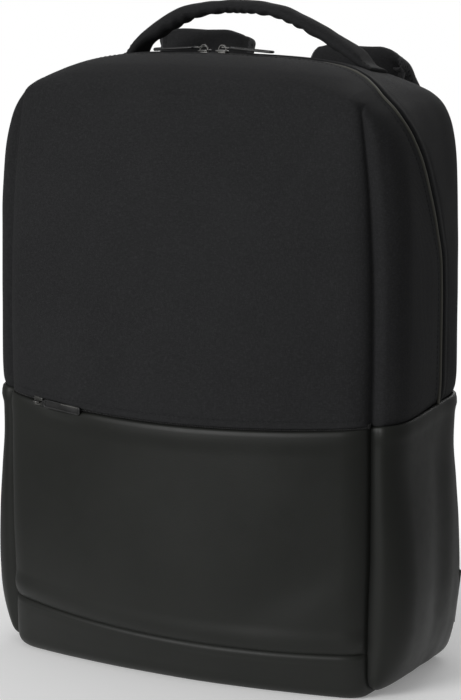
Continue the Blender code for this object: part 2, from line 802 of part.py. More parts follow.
def pull(name, frame, length, material, collection, cutters):
    """A pull whose frame has its origin on the pin and its local X along the pull."""
    start = CHEEK_LENGTH / 2 + 2.0 * CLEARANCE
    half, thick = PULL_WIDTH / 2, PULL_THICKNESS / 2
    bar = solid_box((start, -half, -thick), (length, half, thick))
    corners = [edge for edge in bar.edges
               if all(vert.co.x > (start + length) / 2 for vert in edge.verts)
               and abs(edge.verts[0].co.z - edge.verts[1].co.z) > thick]
    bmesh.ops.bevel(bar, geom=corners, offset=PULL_ROUND, segments=2, affect="EDGES")
    steps = [("", bar)]
    steps.append(("UNION", solid_box((PIN_RADIUS + PIN_FIT, -EYE_WIDTH / 2, -PULL_NECK / 2),
                                     (start + PULL_NECK, EYE_WIDTH / 2, PULL_NECK / 2))))
    steps.append(("UNION", solid_pin(EYE_RADIUS, EYE_WIDTH - CLEARANCE / 2)))
    steps.append(("DIFFERENCE", solid_pin(PIN_RADIUS + PIN_FIT, EYE_WIDTH + CLEARANCE)))
    return compound(name, frame, steps, material, collection, cutters)


def zip_fittings(name, surface, direction, piping, length, materials, collection, cutters):
    """A slider and its pull, lying along the zip. surface gives the point of the cloth at a
    distance along the zip from the slider, and the direction across the zip."""
    here, across = surface(0.0)
    ahead = surface(direction * 0.001)[0]
    along = (ahead - here).normalized()
    across = (across - along * across.dot(along)).normalized()
    out = along.cross(across)
    if out.dot(inward(here)) > 0.0:
        across, out = -across, -out
    height = pin_height(piping)
    pin = here + out * height
    slider(name + "_slider", frame_matrix(along, across, out, pin), height,
           materials[0], collection, cutters)
    end = surface(direction * length)[0] + out * (piping + 2.0 * CLEARANCE + PULL_THICKNESS / 2)
    lie = (end - pin).normalized()
    rise = lie.cross(across)
    pull(name + "_pull", frame_matrix(lie, across, rise, pin), length, materials[1],
         collection, cutters)


def handle_seat(x):
    """The cloth under the handle's sewn end, with the directions across and out of it."""
    row = row_across(x)
    point = arch_point(row, HANDLE_Y)
    across = (arch_point(row, HANDLE_Y + HANDLE_WIDTH / 2)
              - arch_point(row, HANDLE_Y - HANDLE_WIDTH / 2)).normalized()
    along = arch_point(row - SEAT_ROW_SHARE, HANDLE_Y) - point
    out = along.cross(across).normalized()
    return point, across, out if out.z > 0.0 else -out


def handle(material, collection):
    """The padded handle, sewn to the top behind the main zip."""
    foot = handle_seat(HANDLE_HALF_SPAN)[0].z
    centres, widths, thicknesses, hints = [], [], [], []
    for side, rows in ((1.0, HANDLE_SECTIONS), (-1.0, HANDLE_SECTIONS[-2::-1])):
        for share, left_rise, right_rise, width, thickness in rows:
            rise = right_rise if side > 0.0 else left_rise
            x = side * share * HANDLE_HALF_SPAN
            point, across, out = handle_seat(x)
            thick = thickness * HANDLE_THICKNESS
            if rise is None:
                centre = point + out * (HANDLE_SEAT + thick / 2)
            else:
                centre = Vector((x, HANDLE_Y, foot + rise * HANDLE_RISE))
                across = Vector((0.0, 1.0, 0.0))
            centres.append(centre)
            widths.append(width * HANDLE_WIDTH)
            thicknesses.append(thick)
            hints.append(across)
    stations = strip_stations(centres, widths, thicknesses, hints)
    return loft("handle", stations, material, collection)


def shoulder_strap(name, side, crest, material, collection):
    """A padded strap, sewn to the back panel, which rises over its crest and hangs down."""
    face = BACK_Y + PAD_RISE + CLEARANCE
    drop = crest - STRAP_TIP_Z
    centres, widths, thicknesses = [], [], []
    for across, behind, height, width, thickness in STRAP_SECTIONS:
        thick = thickness * STRAP_THICKNESS
        z = STRAP_ROOT_Z if height is None else STRAP_TIP_Z + height * drop
        x = STRAP_ROOT_X + across * STRAP_SPREAD
        centres.append(Vector((side * x, face + thick / 2 + behind * STRAP_REACH, z)))
        widths.append(width * STRAP_WIDTH)
        thicknesses.append(thick)
    hints = [Vector((1.0, 0.0, 0.0))] * len(centres)
    stations = strip_stations(centres, widths, thicknesses, hints)
    loft(name, stations, material, collection)
    return stations


def ladder_lock(name, tip, material, collection, cutters):
    """The buckle at a strap's tip: a plate with a slot at each end."""
    centre, across, out, _, _ = tip
    along = across.cross(out)
    if along.z > 0.0:
        along = -along
    middle = centre + along * (CLEARANCE + LOCK_LENGTH / 2)
    frame = frame_matrix(along, out.cross(along), out, middle)
    plate = solid_box((-LOCK_LENGTH / 2, -LOCK_WIDTH / 2, -LOCK_THICKNESS / 2),
                      (LOCK_LENGTH / 2, LOCK_WIDTH / 2, LOCK_THICKNESS / 2))
    bmesh.ops.bevel(plate, geom=plate.edges[:], offset=LOCK_EDGE, segments=1,
                    affect="EDGES")
    steps = [("", plate)]
    half = WEBBING_WIDTH / 2 + CLEARANCE
    for place_x in (-LOCK_LENGTH / 4, LOCK_LENGTH / 4):
        steps.append(("DIFFERENCE", solid_box(
            (place_x - LOCK_SLOT / 2, -half, -LOCK_THICKNESS),
            (place_x + LOCK_SLOT / 2, half, LOCK_THICKNESS))))
    compound(name, frame, steps, material, collection, cutters)
    return middle, along, across, out


def base_tab(name, side, material, collection):
    """The folded tab sewn into the lower back corner, which holds the webbing."""
    root = Vector((side * (back_half(TAB_ROOT_Z) + TAB_THICKNESS / 2), BACK_Y + CLEARANCE,
                   TAB_ROOT_Z))
    way = Vector((-side * TAB_WAY[0], TAB_WAY[1], TAB_WAY[2])).normalized()
    upright = Vector((0.0, 0.0, 1.0))
    across = (upright - way * upright.dot(way)).normalized()
    out = way.cross(across)
    tip = root + way * TAB_LENGTH
    stations = [
        (root, upright, Vector((1.0, 0.0, 0.0)), TAB_ROOT_WIDTH, TAB_THICKNESS),
        (root.lerp(tip, TAB_FOLD), across, out, TAB_WAIST, TAB_THICKNESS),
        (tip, across, out, WEBBING_WIDTH, TAB_THICKNESS),
    ]
    loft(name, stations, material, collection, sides=8)
    return tip, way, across


def webbing(name, lock, tab, material, collection):
    """The webbing from the buckle down to the tab at the base."""
    middle, along, across, out = lock
    tip, way, tab_across = tab
    if across.dot(tab_across) < 0.0:
        tab_across = -tab_across
    start = middle + out * (LOCK_THICKNESS / 2 + CLEARANCE + WEBBING_THICKNESS / 2)
    knee = start + along * (LOCK_LENGTH / 2 + WEBBING_REACH)
    heel = tip + way * WEBBING_REACH
    centres = [start - along * LOCK_LENGTH / 3, start + along * LOCK_LENGTH / 2, knee]
    centres += [knee.lerp(heel, share) for share in (0.33, 0.67)]
    centres += [heel, tip + way * CLEARANCE]
    hints = [across] * 3 + [across.lerp(tab_across, share) for share in (0.4, 0.8, 1.0, 1.0)]
    count = len(centres)
    stations = strip_stations(centres, [WEBBING_WIDTH] * count, [WEBBING_THICKNESS] * count,
                              hints)
    return loft(name, stations, material, collection, sides=8)


def build():
    clear_scene()
    parts = new_collection("laptop_backpack")
    cutters = new_collection("cutters")
    cloth = new_material("woven_cloth", (0.021, 0.021, 0.024), 0.85)
    coated = new_material("coated_cloth", (0.026, 0.027, 0.024), 0.48)
    mesh_cloth = new_material("air_mesh", (0.018, 0.018, 0.020), 0.90)
    tape = new_material("zip_tape", (0.008, 0.008, 0.008), 0.80)
    trim = new_material("piping", (0.060, 0.060, 0.050), 0.55)
    metal = new_material("dark_metal", (0.30, 0.30, 0.31), 0.35, 1.0)
    plastic = new_material("black_plastic", (0.012, 0.012, 0.012), 0.35)

    front_panel(cloth, parts)
    rear_gusset(cloth, parts)
    pocket_panel(coated, parts)
    base_panel(coated, parts)
    back_panel(mesh_cloth, parts)
    for name, side in SIDES:
        side_panel("side_panel_" + name, side, cloth, parts)
        side_base("side_base_" + name, side, coated, parts)

    main_zip(tape, parts)
    zip_piping(trim, parts)
    pocket_zip(tape, parts)
    handle(cloth, parts)

    def main_surface(place_x):
        def surface(distance):
            row = row_across(place_x + distance)
            y = zip_y(row) + COIL_SHIFT
            return arch_point(row, y), Vector((0.0, 1.0, 0.0))
        return surface

    def pocket_surface(distance):
        x = POCKET_SLIDER_X + distance
        return pocket_line(x, 0.0), Vector((0.0, 0.0, 1.0))

    piping = PIPING_RADIUS - PIPING_SINK
    fittings = (
        ("main_left", main_surface(SLIDER_LEFT_X), -1.0, piping, MAIN_PULL_LENGTH),
        ("main_right", main_surface(SLIDER_RIGHT_X), 1.0, piping, MAIN_PULL_LENGTH),
        ("pocket", pocket_surface, 1.0, 0.0, POCKET_PULL_LENGTH),
    )
    for name, surface, direction, proud, length in fittings:
        zip_fittings(name, surface, direction, proud, length, (metal, plastic), parts, cutters)

    for (name, side), crest in zip(SIDES, (STRAP_CREST_LEFT, STRAP_CREST_RIGHT)):
        stations = shoulder_strap("shoulder_strap_" + name, side, crest, cloth, parts)
        lock = ladder_lock("ladder_lock_" + name, stations[-1], plastic, parts, cutters)
        tab = base_tab("base_tab_" + name, side, cloth, parts)
        webbing("strap_webbing_" + name, lock, tab, cloth, parts)


build()
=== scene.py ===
"""A laptop backpack standing closed on its base: cloth, zips, handle and straps over the frame.

Metres, +Z up, the front faces -Y and +X is the right-hand side seen from the front.
"""
import json
import bmesh
import bpy
import numpy as np
from math import cos, pi, radians, sin
from mathutils import Matrix, Vector, noise
from mathutils.bvhtree import BVHTree


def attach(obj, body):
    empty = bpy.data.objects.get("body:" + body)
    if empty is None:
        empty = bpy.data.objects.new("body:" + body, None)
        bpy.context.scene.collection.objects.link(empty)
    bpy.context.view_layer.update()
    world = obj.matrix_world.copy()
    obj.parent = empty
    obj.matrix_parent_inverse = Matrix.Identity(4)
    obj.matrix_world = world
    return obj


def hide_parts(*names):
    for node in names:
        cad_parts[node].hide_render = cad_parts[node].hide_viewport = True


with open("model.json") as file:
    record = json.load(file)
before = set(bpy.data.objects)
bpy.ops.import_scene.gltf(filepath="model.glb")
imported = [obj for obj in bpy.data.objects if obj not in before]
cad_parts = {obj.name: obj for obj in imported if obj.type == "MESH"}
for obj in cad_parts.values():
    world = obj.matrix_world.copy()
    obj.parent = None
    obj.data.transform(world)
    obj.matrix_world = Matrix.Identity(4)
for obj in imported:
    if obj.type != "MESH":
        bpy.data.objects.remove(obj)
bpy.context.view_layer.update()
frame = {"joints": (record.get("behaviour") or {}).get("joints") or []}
JOINTS = {joint["child"]: joint for joint in frame["joints"]}
COLLECTION = bpy.context.scene.collection

# ---- sizes shared with the solids ----
HEIGHT = 0.448
DEPTH = 0.127
FRONT_Y = -DEPTH / 2
BACK_Y = DEPTH / 2
SEAM_HALF = 0.149
SIDE_HALF = 0.158
SIDE_PUFF = 0.009
PUFF_POWER = 0.45
BULGE = 0.035
ROLL = 0.024
FRONT_ROLL = 0.018
FRONT_ROLL_SHARE = 0.25
BASE_HEIGHT = 0.197
BASE_RISE = 0.005
BAND_HEIGHT = 0.037
BAND_SLOPE = 0.008
SEAM_LIFT = 0.005
LINE_DIP = 0.006
BASE_RADIUS = 0.010
BASE_ROLL = 0.045
BACK_TUCK = 0.005
BACK_FALL = 0.0125
PAD_RISE = 0.004
ZIP_OPENING = 0.008
COIL_SHIFT = 0.0018
POCKET_OPENING = 0.005
BASE_LIFT_SHARE = 0.14
HANDLE_Y = 0.030
HANDLE_HALF_SPAN = 0.106
HANDLE_RISE = 0.0457
HANDLE_WIDTH = 0.030
HANDLE_THICKNESS = 0.0095
HANDLE_SEAT = 0.0007
TAPE_DEPTH = 0.0026          # from the cloth's surface down to the zip's tape
TAPE_THICKNESS = 0.0007
PIPING_RADIUS = 0.0013
SHEET = 0.0012               # cloth of the dressed bag
BASE_MARGIN = 0.0008         # how far the coated cloth reaches up past the pocket's opening
SEAM_SINK = 0.0028           # how deep a woven seam lies
SEAM_FADE = 0.0024           # and the distance at which its groove is mostly gone
BASE_SINK = 0.0044
BASE_FADE = 0.0022
SIDE_FADE = 0.0018
BACK_SINK = 0.0024
SEAM_RUN_ON = 0.006          # how far the front seam runs on over the corner
SEAM_ROWS = 1.3              # rows of the arch over which the cloth follows the coated seam
STITCH_SINK = 0.0006         # how deep a row of stitches pulls the cloth in
STITCH_FADE = 0.0012
ZIP_STITCH = 0.0060          # from the zip's edge to the stitches beside it
CORE_INSET = 0.044
CORE_DROP = 0.052
PAD_EDGE = 0.014
CHANNEL_X = 0.052            # the padded back's two upright channels, and its level ones
CHANNEL_LEVELS = (0.085, 0.160, 0.235, 0.310)
CHANNEL_DEPTH = 0.0034
CHANNEL_WIDTH = 0.0060
CORNER_STEPS = 8             # rows round a lower edge of the base
STRAP_ROOT_X = 0.063
STRAP_ROOT_Z = 0.385
STRAP_TIP_Z = 0.150
STRAP_CRESTS = {"left": 0.4525, "right": 0.4440}
STRAP_SPREAD = 0.026
STRAP_REACH = 0.044
STRAP_WIDTH = 0.078
STRAP_THICKNESS = 0.012
SIDES = (("left", -1.0), ("right", 1.0))

BASE_SECTIONS = np.array((
    # height, seam, side
    (0.00, 0.990, 1.006),
    (0.19, 0.990, 1.020),
    (0.37, 0.994, 1.031),
    (0.53, 1.000, 1.024),
    (0.69, 1.000, 1.006),
    (0.85, 0.999, 0.988),
    (1.00, 0.998, 0.994),
))
ARCH_SECTIONS = np.array((
    # front_x, front_z, crown_x, crown_z, zip_y, roll, puff, fall
    (0.998, 0.000, 0.994, 0.000, 0.152, 0.19, 1.0, 0.00),
    (1.000, 0.090, 1.000, 0.090, 0.160, 0.19, 1.0, 0.00),
    (1.003, 0.190, 1.000, 0.190, 0.162, 0.19, 1.0, 0.00),
    (1.002, 0.300, 1.000, 0.300, 0.163, 0.19, 1.0, 0.00),
    (0.999, 0.420, 1.000, 0.420, 0.147, 0.19, 1.0, 0.00),
    (0.991, 0.520, 0.997, 0.525, 0.074, 0.19, 1.0, 0.00),
    (0.981, 0.615, 0.992, 0.625, -0.008, 0.20, 0.9, 0.00),
    (0.968, 0.700, 0.985, 0.715, -0.092, 0.21, 0.8, 0.00),
    (0.953, 0.775, 0.965, 0.795, -0.166, 0.23, 0.6, 0.04),
    (0.940, 0.835, 0.924, 0.860, -0.209, 0.26, 0.3, 0.12),
    (0.930, 0.872, 0.868, 0.902, -0.200, 0.29, 0.0, 0.30),
    (0.870, 0.892, 0.800, 0.932, -0.154, 0.35, 0.0, 0.55),
    (0.785, 0.905, 0.728, 0.953, -0.100, 0.40, 0.0, 0.72),
    (0.665, 0.918, 0.622, 0.976, -0.066, 0.43, 0.0, 0.86),
    (0.500, 0.925, 0.470, 0.991, -0.045, 0.45, 0.0, 0.95),
    (0.265, 0.930, 0.250, 0.998, -0.039, 0.46, 0.0, 1.00),
    (0.000, 0.931, 0.000, 1.000, -0.039, 0.46, 0.0, 1.00),
))
CORNER_ROW = 10.0
MIDDLE_ROW = 16.0
LAST_ROW = 32.0
FRONT_SECTIONS = np.array((
    # height, bulge
    (0.00, 0.56),
    (0.04, 0.74),
    (0.08, 0.84),
    (0.22, 0.98),
    (0.42, 1.00),
    (0.60, 0.88),
    (0.80, 0.58),
    (0.90, 0.38),
    (1.00, 0.26),
))
HANDLE_SECTIONS = (
    # across, left rise, right rise, width, thickness
    (1.00, None, None, 1.00, 0.35),
    (0.93, None, None, 0.96, 0.50),
    (0.84, 0.37, 0.28, 0.84, 0.85),
    (0.69, 0.62, 0.47, 0.72, 1.00),
    (0.49, 0.86, 0.71, 0.68, 1.00),
    (0.26, 0.97, 0.92, 0.68, 1.00),
    (0.00, 1.00, 1.00, 0.68, 1.00),
)
STRAP_SECTIONS = (
    # across, behind, height, width, thickness
    (0.00, 0.00, None, 1.00, 0.40),
    (0.00, 0.01, 0.900, 1.00, 0.70),
    (0.02, 0.06, 0.970, 0.99, 0.95),
    (0.08, 0.21, 1.000, 0.97, 1.00),
    (0.18, 0.45, 0.985, 0.93, 1.00),
    (0.30, 0.71, 0.935, 0.88, 1.00),
    (0.45, 0.90, 0.850, 0.83, 1.00),
    (0.68, 1.00, 0.720, 0.79, 1.00),
    (0.88, 0.98, 0.570, 0.77, 1.00),
    (1.00, 0.90, 0.410, 0.74, 1.00),
    (1.00, 0.80, 0.250, 0.68, 0.95),
    (0.97, 0.72, 0.100, 0.58, 0.80),
    (0.95, 0.68, 0.000, 0.40, 0.42),
)
CORE_LOW = np.array((-SEAM_HALF, FRONT_Y, 0.0)) + CORE_INSET
CORE_HIGH = np.array((SEAM_HALF - CORE_INSET, BACK_Y - CORE_INSET, HEIGHT - CORE_DROP))


# ---- curves and surfaces ----
def hermite(xs, ys, q):
    """A monotone cubic through the points (xs, ys), read at q."""
    xs, ys, q = np.asarray(xs, float), np.asarray(ys, float), np.asarray(q, float)
    h = np.diff(xs)
    d = np.diff(ys) / h
    m = np.empty_like(ys)
    m[0], m[-1] = d[0], d[-1]
    for i in range(1, len(xs) - 1):
        m[i] = 0.0
        if d[i - 1] * d[i] > 0.0:
            a, b = 2.0 * h[i] + h[i - 1], h[i] + 2.0 * h[i - 1]
            m[i] = (a + b) / (a / d[i - 1] + b / d[i])
    i = np.clip(np.searchsorted(xs, q) - 1, 0, len(xs) - 2)
    t = np.clip((q - xs[i]) / h[i], 0.0, 1.0)
    return ((2 * t ** 3 - 3 * t ** 2 + 1) * ys[i] + (t ** 3 - 2 * t ** 2 + t) * h[i] * m[i]
            + (3 * t ** 2 - 2 * t ** 3) * ys[i + 1] + (t ** 3 - t ** 2) * h[i] * m[i + 1])


def quarter(t):
    t = np.clip(t, 0.0, 1.0)
    return np.sqrt(1.0 - (1.0 - t) ** 2)


def smooth(t):
    t = np.clip(t, 0.0, 1.0)
    return t * t * (3.0 - 2.0 * t)


def bump(t):
    """1 at 0, falling smoothly to 0 at -1 and 1."""
    return smooth(1.0 - np.abs(t))


def unit(vectors):
    return vectors / np.linalg.norm(vectors, axis=-1, keepdims=True)


def lengths_along(points):
    """The distance of each point from the first one, along their line."""
    return np.concatenate([[0.0], np.cumsum(np.linalg.norm(np.diff(points, axis=0), axis=1))])


MIRROR = np.array((-1.0, 1.0, -1.0, 1.0, 1.0, 1.0, 1.0, 1.0))
ARCH = np.concatenate([ARCH_SECTIONS, ARCH_SECTIONS[-2::-1] * MIRROR])
ARCH_RISE = HEIGHT - BASE_HEIGHT
SEAM_Z = np.concatenate([BASE_SECTIONS[:-1, 0] * BASE_HEIGHT,
                         BASE_HEIGHT + ARCH_SECTIONS[:11, 1] * ARCH_RISE])
SEAM_X = np.concatenate([BASE_SECTIONS[:-1, 1], ARCH_SECTIONS[:11, 0]]) * SEAM_HALF


def arch(row, column):
    return hermite(np.arange(LAST_ROW + 1.0), ARCH[:, column], row)


def zip_y(row):
    return arch(row, 4) * DEPTH


def front_z(row):
    return BASE_HEIGHT + arch(row, 1) * ARCH_RISE


def seam_half(z):
    return hermite(SEAM_Z, SEAM_X, z)


def side_half(z):
    return SIDE_HALF * hermite(BASE_SECTIONS[:, 0], BASE_SECTIONS[:, 2], z / BASE_HEIGHT)


def inward(points):
    """Unit directions from points of the surface towards the middle of the bag."""
    return unit(np.clip(points, CORE_LOW, CORE_HIGH) - points)


def front_y(x, z):
    half = seam_half(z)
    share = np.clip(np.abs(x) / half, 0.0, 1.0)
    stand = BULGE * hermite(FRONT_SECTIONS[:, 0], FRONT_SECTIONS[:, 1], z / HEIGHT)
    roll = quarter((1.0 - share) * half / FRONT_ROLL)
    dome = 1.0 - share ** 2
    return FRONT_Y - stand * (FRONT_ROLL_SHARE * roll + (1.0 - FRONT_ROLL_SHARE) * dome)


def fold_y(row):
    row = np.asarray(row, float)
    over = (row > CORNER_ROW) & (row < LAST_ROW - CORNER_ROW)
    return np.where(over, front_y(arch(row, 0) * SEAM_HALF, front_z(row)), FRONT_Y)


def side_puff(y):
    return np.sin(pi * np.clip((y - FRONT_Y) / DEPTH, 0.0, 1.0) ** PUFF_POWER)


def arch_point(row, y):
    """Points of the cloth sides and top, at rows of the arch and depths y."""
    row, y = np.broadcast_arrays(np.asarray(row, float), np.asarray(y, float))
    zero = np.zeros_like(y)
    front = np.stack([arch(row, 0) * SEAM_HALF, zero, front_z(row)], -1)
    crown = np.stack([arch(row, 2) * SIDE_HALF, zero, BASE_HEIGHT + arch(row, 3) * ARCH_RISE], -1)
    turn = quarter((y - fold_y(row)) / (arch(row, 5) * DEPTH))[..., None]
    near = front + (crown - front) * turn
    out = -inward(crown)
    out[..., 1] = 0.0
    out = unit(out)
    far = crown - out * (BACK_TUCK * (1.0 - quarter((BACK_Y - y) / ROLL)))[..., None]
    point = np.where((y < 0.0)[..., None], near, far)
    side = np.where(row <= MIDDLE_ROW, 1.0, -1.0)
    point[..., 0] += side * arch(row, 6) * SIDE_PUFF * side_puff(y)
    middle = zip_y(row)
    behind = np.clip((y - middle) / (BACK_Y - middle), 0.0, None)
    point[..., 2] -= arch(row, 7) * BACK_FALL * behind
    point[..., 1] = y
    return point


def coated_seam(y):
    return BASE_HEIGHT + BASE_RISE * (y - FRONT_Y) / DEPTH


def base_start(z):
    drop = np.clip(SEAM_LIFT + BASE_RADIUS - z, 0.0, BASE_RADIUS)
    return FRONT_Y + BASE_RADIUS - np.sqrt(BASE_RADIUS ** 2 - drop ** 2)


def base_point(y, z, side):
    y, z = np.broadcast_arrays(np.asarray(y, float), np.asarray(z, float))
    low = seam_half(z)
    rise = quarter((z - SEAM_LIFT) / BASE_ROLL)
    full = low + (side_half(z) - low) * rise
    back = low + (side_half(z) - BACK_TUCK - low) * rise
    x = np.where(y < 0.0, low + (full - low) * quarter((y - base_start(z)) / ROLL),
                 back + (full - back) * quarter((-base_start(z) - y) / ROLL))
    x = x + SIDE_PUFF * side_puff(y) * rise
    return np.stack([side * x, y, z], -1)


def back_half(z):
    rows = np.linspace(0.0, CORNER_ROW, 41)
    ends = arch_point(rows, BACK_Y)
    low = base_point(BACK_Y, z, 1.0)[..., 0]
    return np.where(z < coated_seam(BACK_Y), low, np.interp(z, ends[:, 2], ends[:, 0]))


def line_height(height, x):
    return height - LINE_DIP * (1.0 - (x / SEAM_HALF) ** 2)


def band_seam(x):
    return line_height(BAND_HEIGHT, x) - BAND_SLOPE / 2 * x / SEAM_HALF


def face_point(share, z):
    half = seam_half(z)
    return np.stack([share * half, front_y(share * half, z), z], -1)


# ---- meshes ----
def crinkle(points, scale, seed, stretch=(1.0, 1.0, 1.0)):
    """Smooth noise in -1..1 at points, with features of the given size."""
    flat = points.reshape(-1, 3) / scale * np.array(stretch) + seed
    values = np.array([noise.noise(Vector(p)) for p in flat])
    return values.reshape(points.shape[:-1])


def ease(work, verts, times):
    for _ in range(times):
        bmesh.ops.smooth_vert(work, verts=verts, factor=0.5, use_axis_x=True, use_axis_y=True,
                              use_axis_z=True)


def show(name, mesh):
    """The mesh as an object of the scene, shaded smooth."""
    mesh.shade_smooth()
    piece = bpy.data.objects.new(name, mesh)
    COLLECTION.objects.link(piece)
    return piece


class Cloth:
    """Grids of points that are joined into one mesh along the edges they share."""

    def __init__(self):
        self.points, self.faces, self.slots, self.count = [], [], [], 0

    def grid(self, points, slot=0):
        rows, columns = points.shape[:2]
        i, j = np.meshgrid(np.arange(rows - 1), np.arange(columns - 1), indexing="ij")
        corner = (self.count + i * columns + j).ravel()
        faces = np.stack([corner, corner + 1, corner + columns + 1, corner + columns], -1)
        self.points.append(points.reshape(-1, 3))
        self.faces.append(faces)
        self.slots += np.broadcast_to(slot, (rows - 1, columns - 1)).ravel().tolist()
        self.count += rows * columns

    def build(self, name, materials, thickness=0.0, relax=0, outward=None, closed=False,
              soft=None):
        mesh = bpy.data.meshes.new(name)
        mesh.from_pydata(np.concatenate(self.points).tolist(), [],
                         np.concatenate(self.faces).tolist())
        for material in materials:
            mesh.materials.append(material)
        mesh.polygons.foreach_set("material_index", self.slots)
        work = bmesh.new()
        work.from_mesh(mesh)
        bmesh.ops.remove_doubles(work, verts=work.verts[:], dist=4e-5)
        bmesh.ops.dissolve_degenerate(work, dist=1e-6, edges=work.edges[:])
        bmesh.ops.recalc_face_normals(work, faces=work.faces[:])
        work.normal_update()
        sample = max(work.faces, key=lambda face: face.calc_area())
        at = np.array(sample.calc_center_median())
        way = inward(at) if outward is None else outward(at)
        if not closed and sample.normal.dot(Vector(way)) > 0.0:
            bmesh.ops.reverse_faces(work, faces=work.faces[:])
        inner = [vert for vert in work.verts if not vert.is_boundary]
        ease(work, inner, relax)
        if soft is not None:
            places = np.array([vert.co for vert in inner])
            ease(work, [vert for vert, chosen in zip(inner, soft(places)) if chosen], 24)
        work.to_mesh(mesh)
        work.free()
        piece = show(name, mesh)
        if thickness:
            solid = piece.modifiers.new("wall", "SOLIDIFY")
            solid.thickness = thickness
            solid.offset = -1.0
        return piece


def groove(distance, depth, width):
    """How far a surface sinks at a distance from a sewn seam."""
    return depth * np.exp(-(np.abs(distance) / width) ** 1.15)


def sink(points, depth):
    return points + inward(points) * np.asarray(depth)[..., None]


def spread(count, crowd=1.0):
    """Shares from -1 to 1 that crowd towards both ends."""
    t = np.linspace(-1.0, 1.0, count)
    return np.sin(t * pi / 2) * (1 - 1 / (1 + crowd)) + t / (1 + crowd)


def hem(points, axis_end, steps):
    """Rows added past the end of a grid that turn its edge under: steps are (on, in)."""
    edge = points[:, -1] if axis_end else points[:, 0]
    inner = points[:, -2] if axis_end else points[:, 1]
    way = edge - inner
    way /= np.linalg.norm(way, axis=-1, keepdims=True) + 1e-12
    deep = inward(edge)
    rows = [edge + way * on + deep * in_ for on, in_ in steps]
    added = np.stack(rows, 1)
    if axis_end:
        return np.concatenate([points, added], 1)
    return np.concatenate([added[:, ::-1], points], 1)


HEM = ((0.0004, 0.0004), (0.0003, 0.0012), (-0.0010, 0.0019), (-0.0045, 0.0021))


def tube(name, points, radius, material, sides=8):
    """A round cord along points, with closed ends."""
    points = np.asarray(points)
    along = unit(np.gradient(points, axis=0))
    across = unit(np.cross(along, -inward(points)))
    out = np.cross(across, along)
    angles = np.linspace(0.0, 2 * pi, sides, endpoint=False)
    ring = (points[:, None] + radius * (np.cos(angles)[None, :, None] * across[:, None]
                                        + np.sin(angles)[None, :, None] * out[:, None]))
    mesh = bpy.data.meshes.new(name)
    faces = []
    for i in range(len(points) - 1):
        for k in range(sides):
            a, b = i * sides + k, i * sides + (k + 1) % sides
            faces.append((a, b, b + sides, a + sides))
    faces.append(tuple(range(sides))[::-1])
    faces.append(tuple((len(points) - 1) * sides + k for k in range(sides)))
    mesh.from_pydata(ring.reshape(-1, 3).tolist(), [], faces)
    mesh.materials.append(material)
    return show(name, mesh)


def resample(points, step):
    """Points at even steps along a polyline."""
    points = np.asarray(points)
    lengths = lengths_along(points)
    count = max(int(round(lengths[-1] / step)), 2)
    at = np.linspace(0.0, lengths[-1], count + 1)
    return np.stack([np.interp(at, lengths, points[:, k]) for k in range(3)], -1)


def stitches(name, lines, material, length=0.0026, gap=0.0012, radius=0.00028):
    """Rows of thread stitches along lines of (points, outwards directions)."""
    verts, faces = [], []
    for points, out in lines:
        line = resample(points, length + gap)
        lengths = lengths_along(points)
        at = np.linspace(0.0, lengths[-1], len(line))
        outs = np.stack([np.interp(at, lengths, out[:, k]) for k in range(3)], -1)
        for a, b, o in zip(line[:-1], line[1:], outs):
            way = (b - a) / np.linalg.norm(b - a)
            o = o - way * o.dot(way)
            o /= np.linalg.norm(o)
            side = np.cross(way, o)
            start = len(verts)
            for share, lift, fat in ((0.0, -0.6, 0.5), (0.25, 0.3, 1.0), (0.75, 0.3, 1.0),
                                     (1.0, -0.6, 0.5)):
                centre = a + way * length * share + o * radius * lift
                for k in range(5):
                    angle = 2 * pi * k / 5
                    verts.append(centre + radius * fat * (cos(angle) * side + sin(angle) * o))
            for i in range(3):
                for k in range(5):
                    p, q = start + i * 5 + k, start + i * 5 + (k + 1) % 5
                    faces.append((p, q, q + 5, p + 5))
            faces.append(tuple(start + k for k in range(5))[::-1])
            faces.append(tuple(start + 15 + k for k in range(5)))
    mesh = bpy.data.meshes.new(name)
    mesh.from_pydata([tuple(v) for v in verts], [], faces)
    mesh.materials.append(material)
    return show(name, mesh)


# ---- materials ----
def material(name, colour, roughness, metallic=0.0, sheen=0.0, sheen_roughness=0.5, specular=0.5):
    made = bpy.data.materials.new(name)
    made.use_nodes = True
    shader = made.node_tree.nodes["Principled BSDF"]
    shader.inputs["Base Color"].default_value = (*colour, 1.0)
    shader.inputs["Roughness"].default_value = roughness
    shader.inputs["Metallic"].default_value = metallic
    shader.inputs["Sheen Weight"].default_value = sheen
    shader.inputs["Sheen Roughness"].default_value = sheen_roughness
    shader.inputs["Specular IOR Level"].default_value = specular
    return made


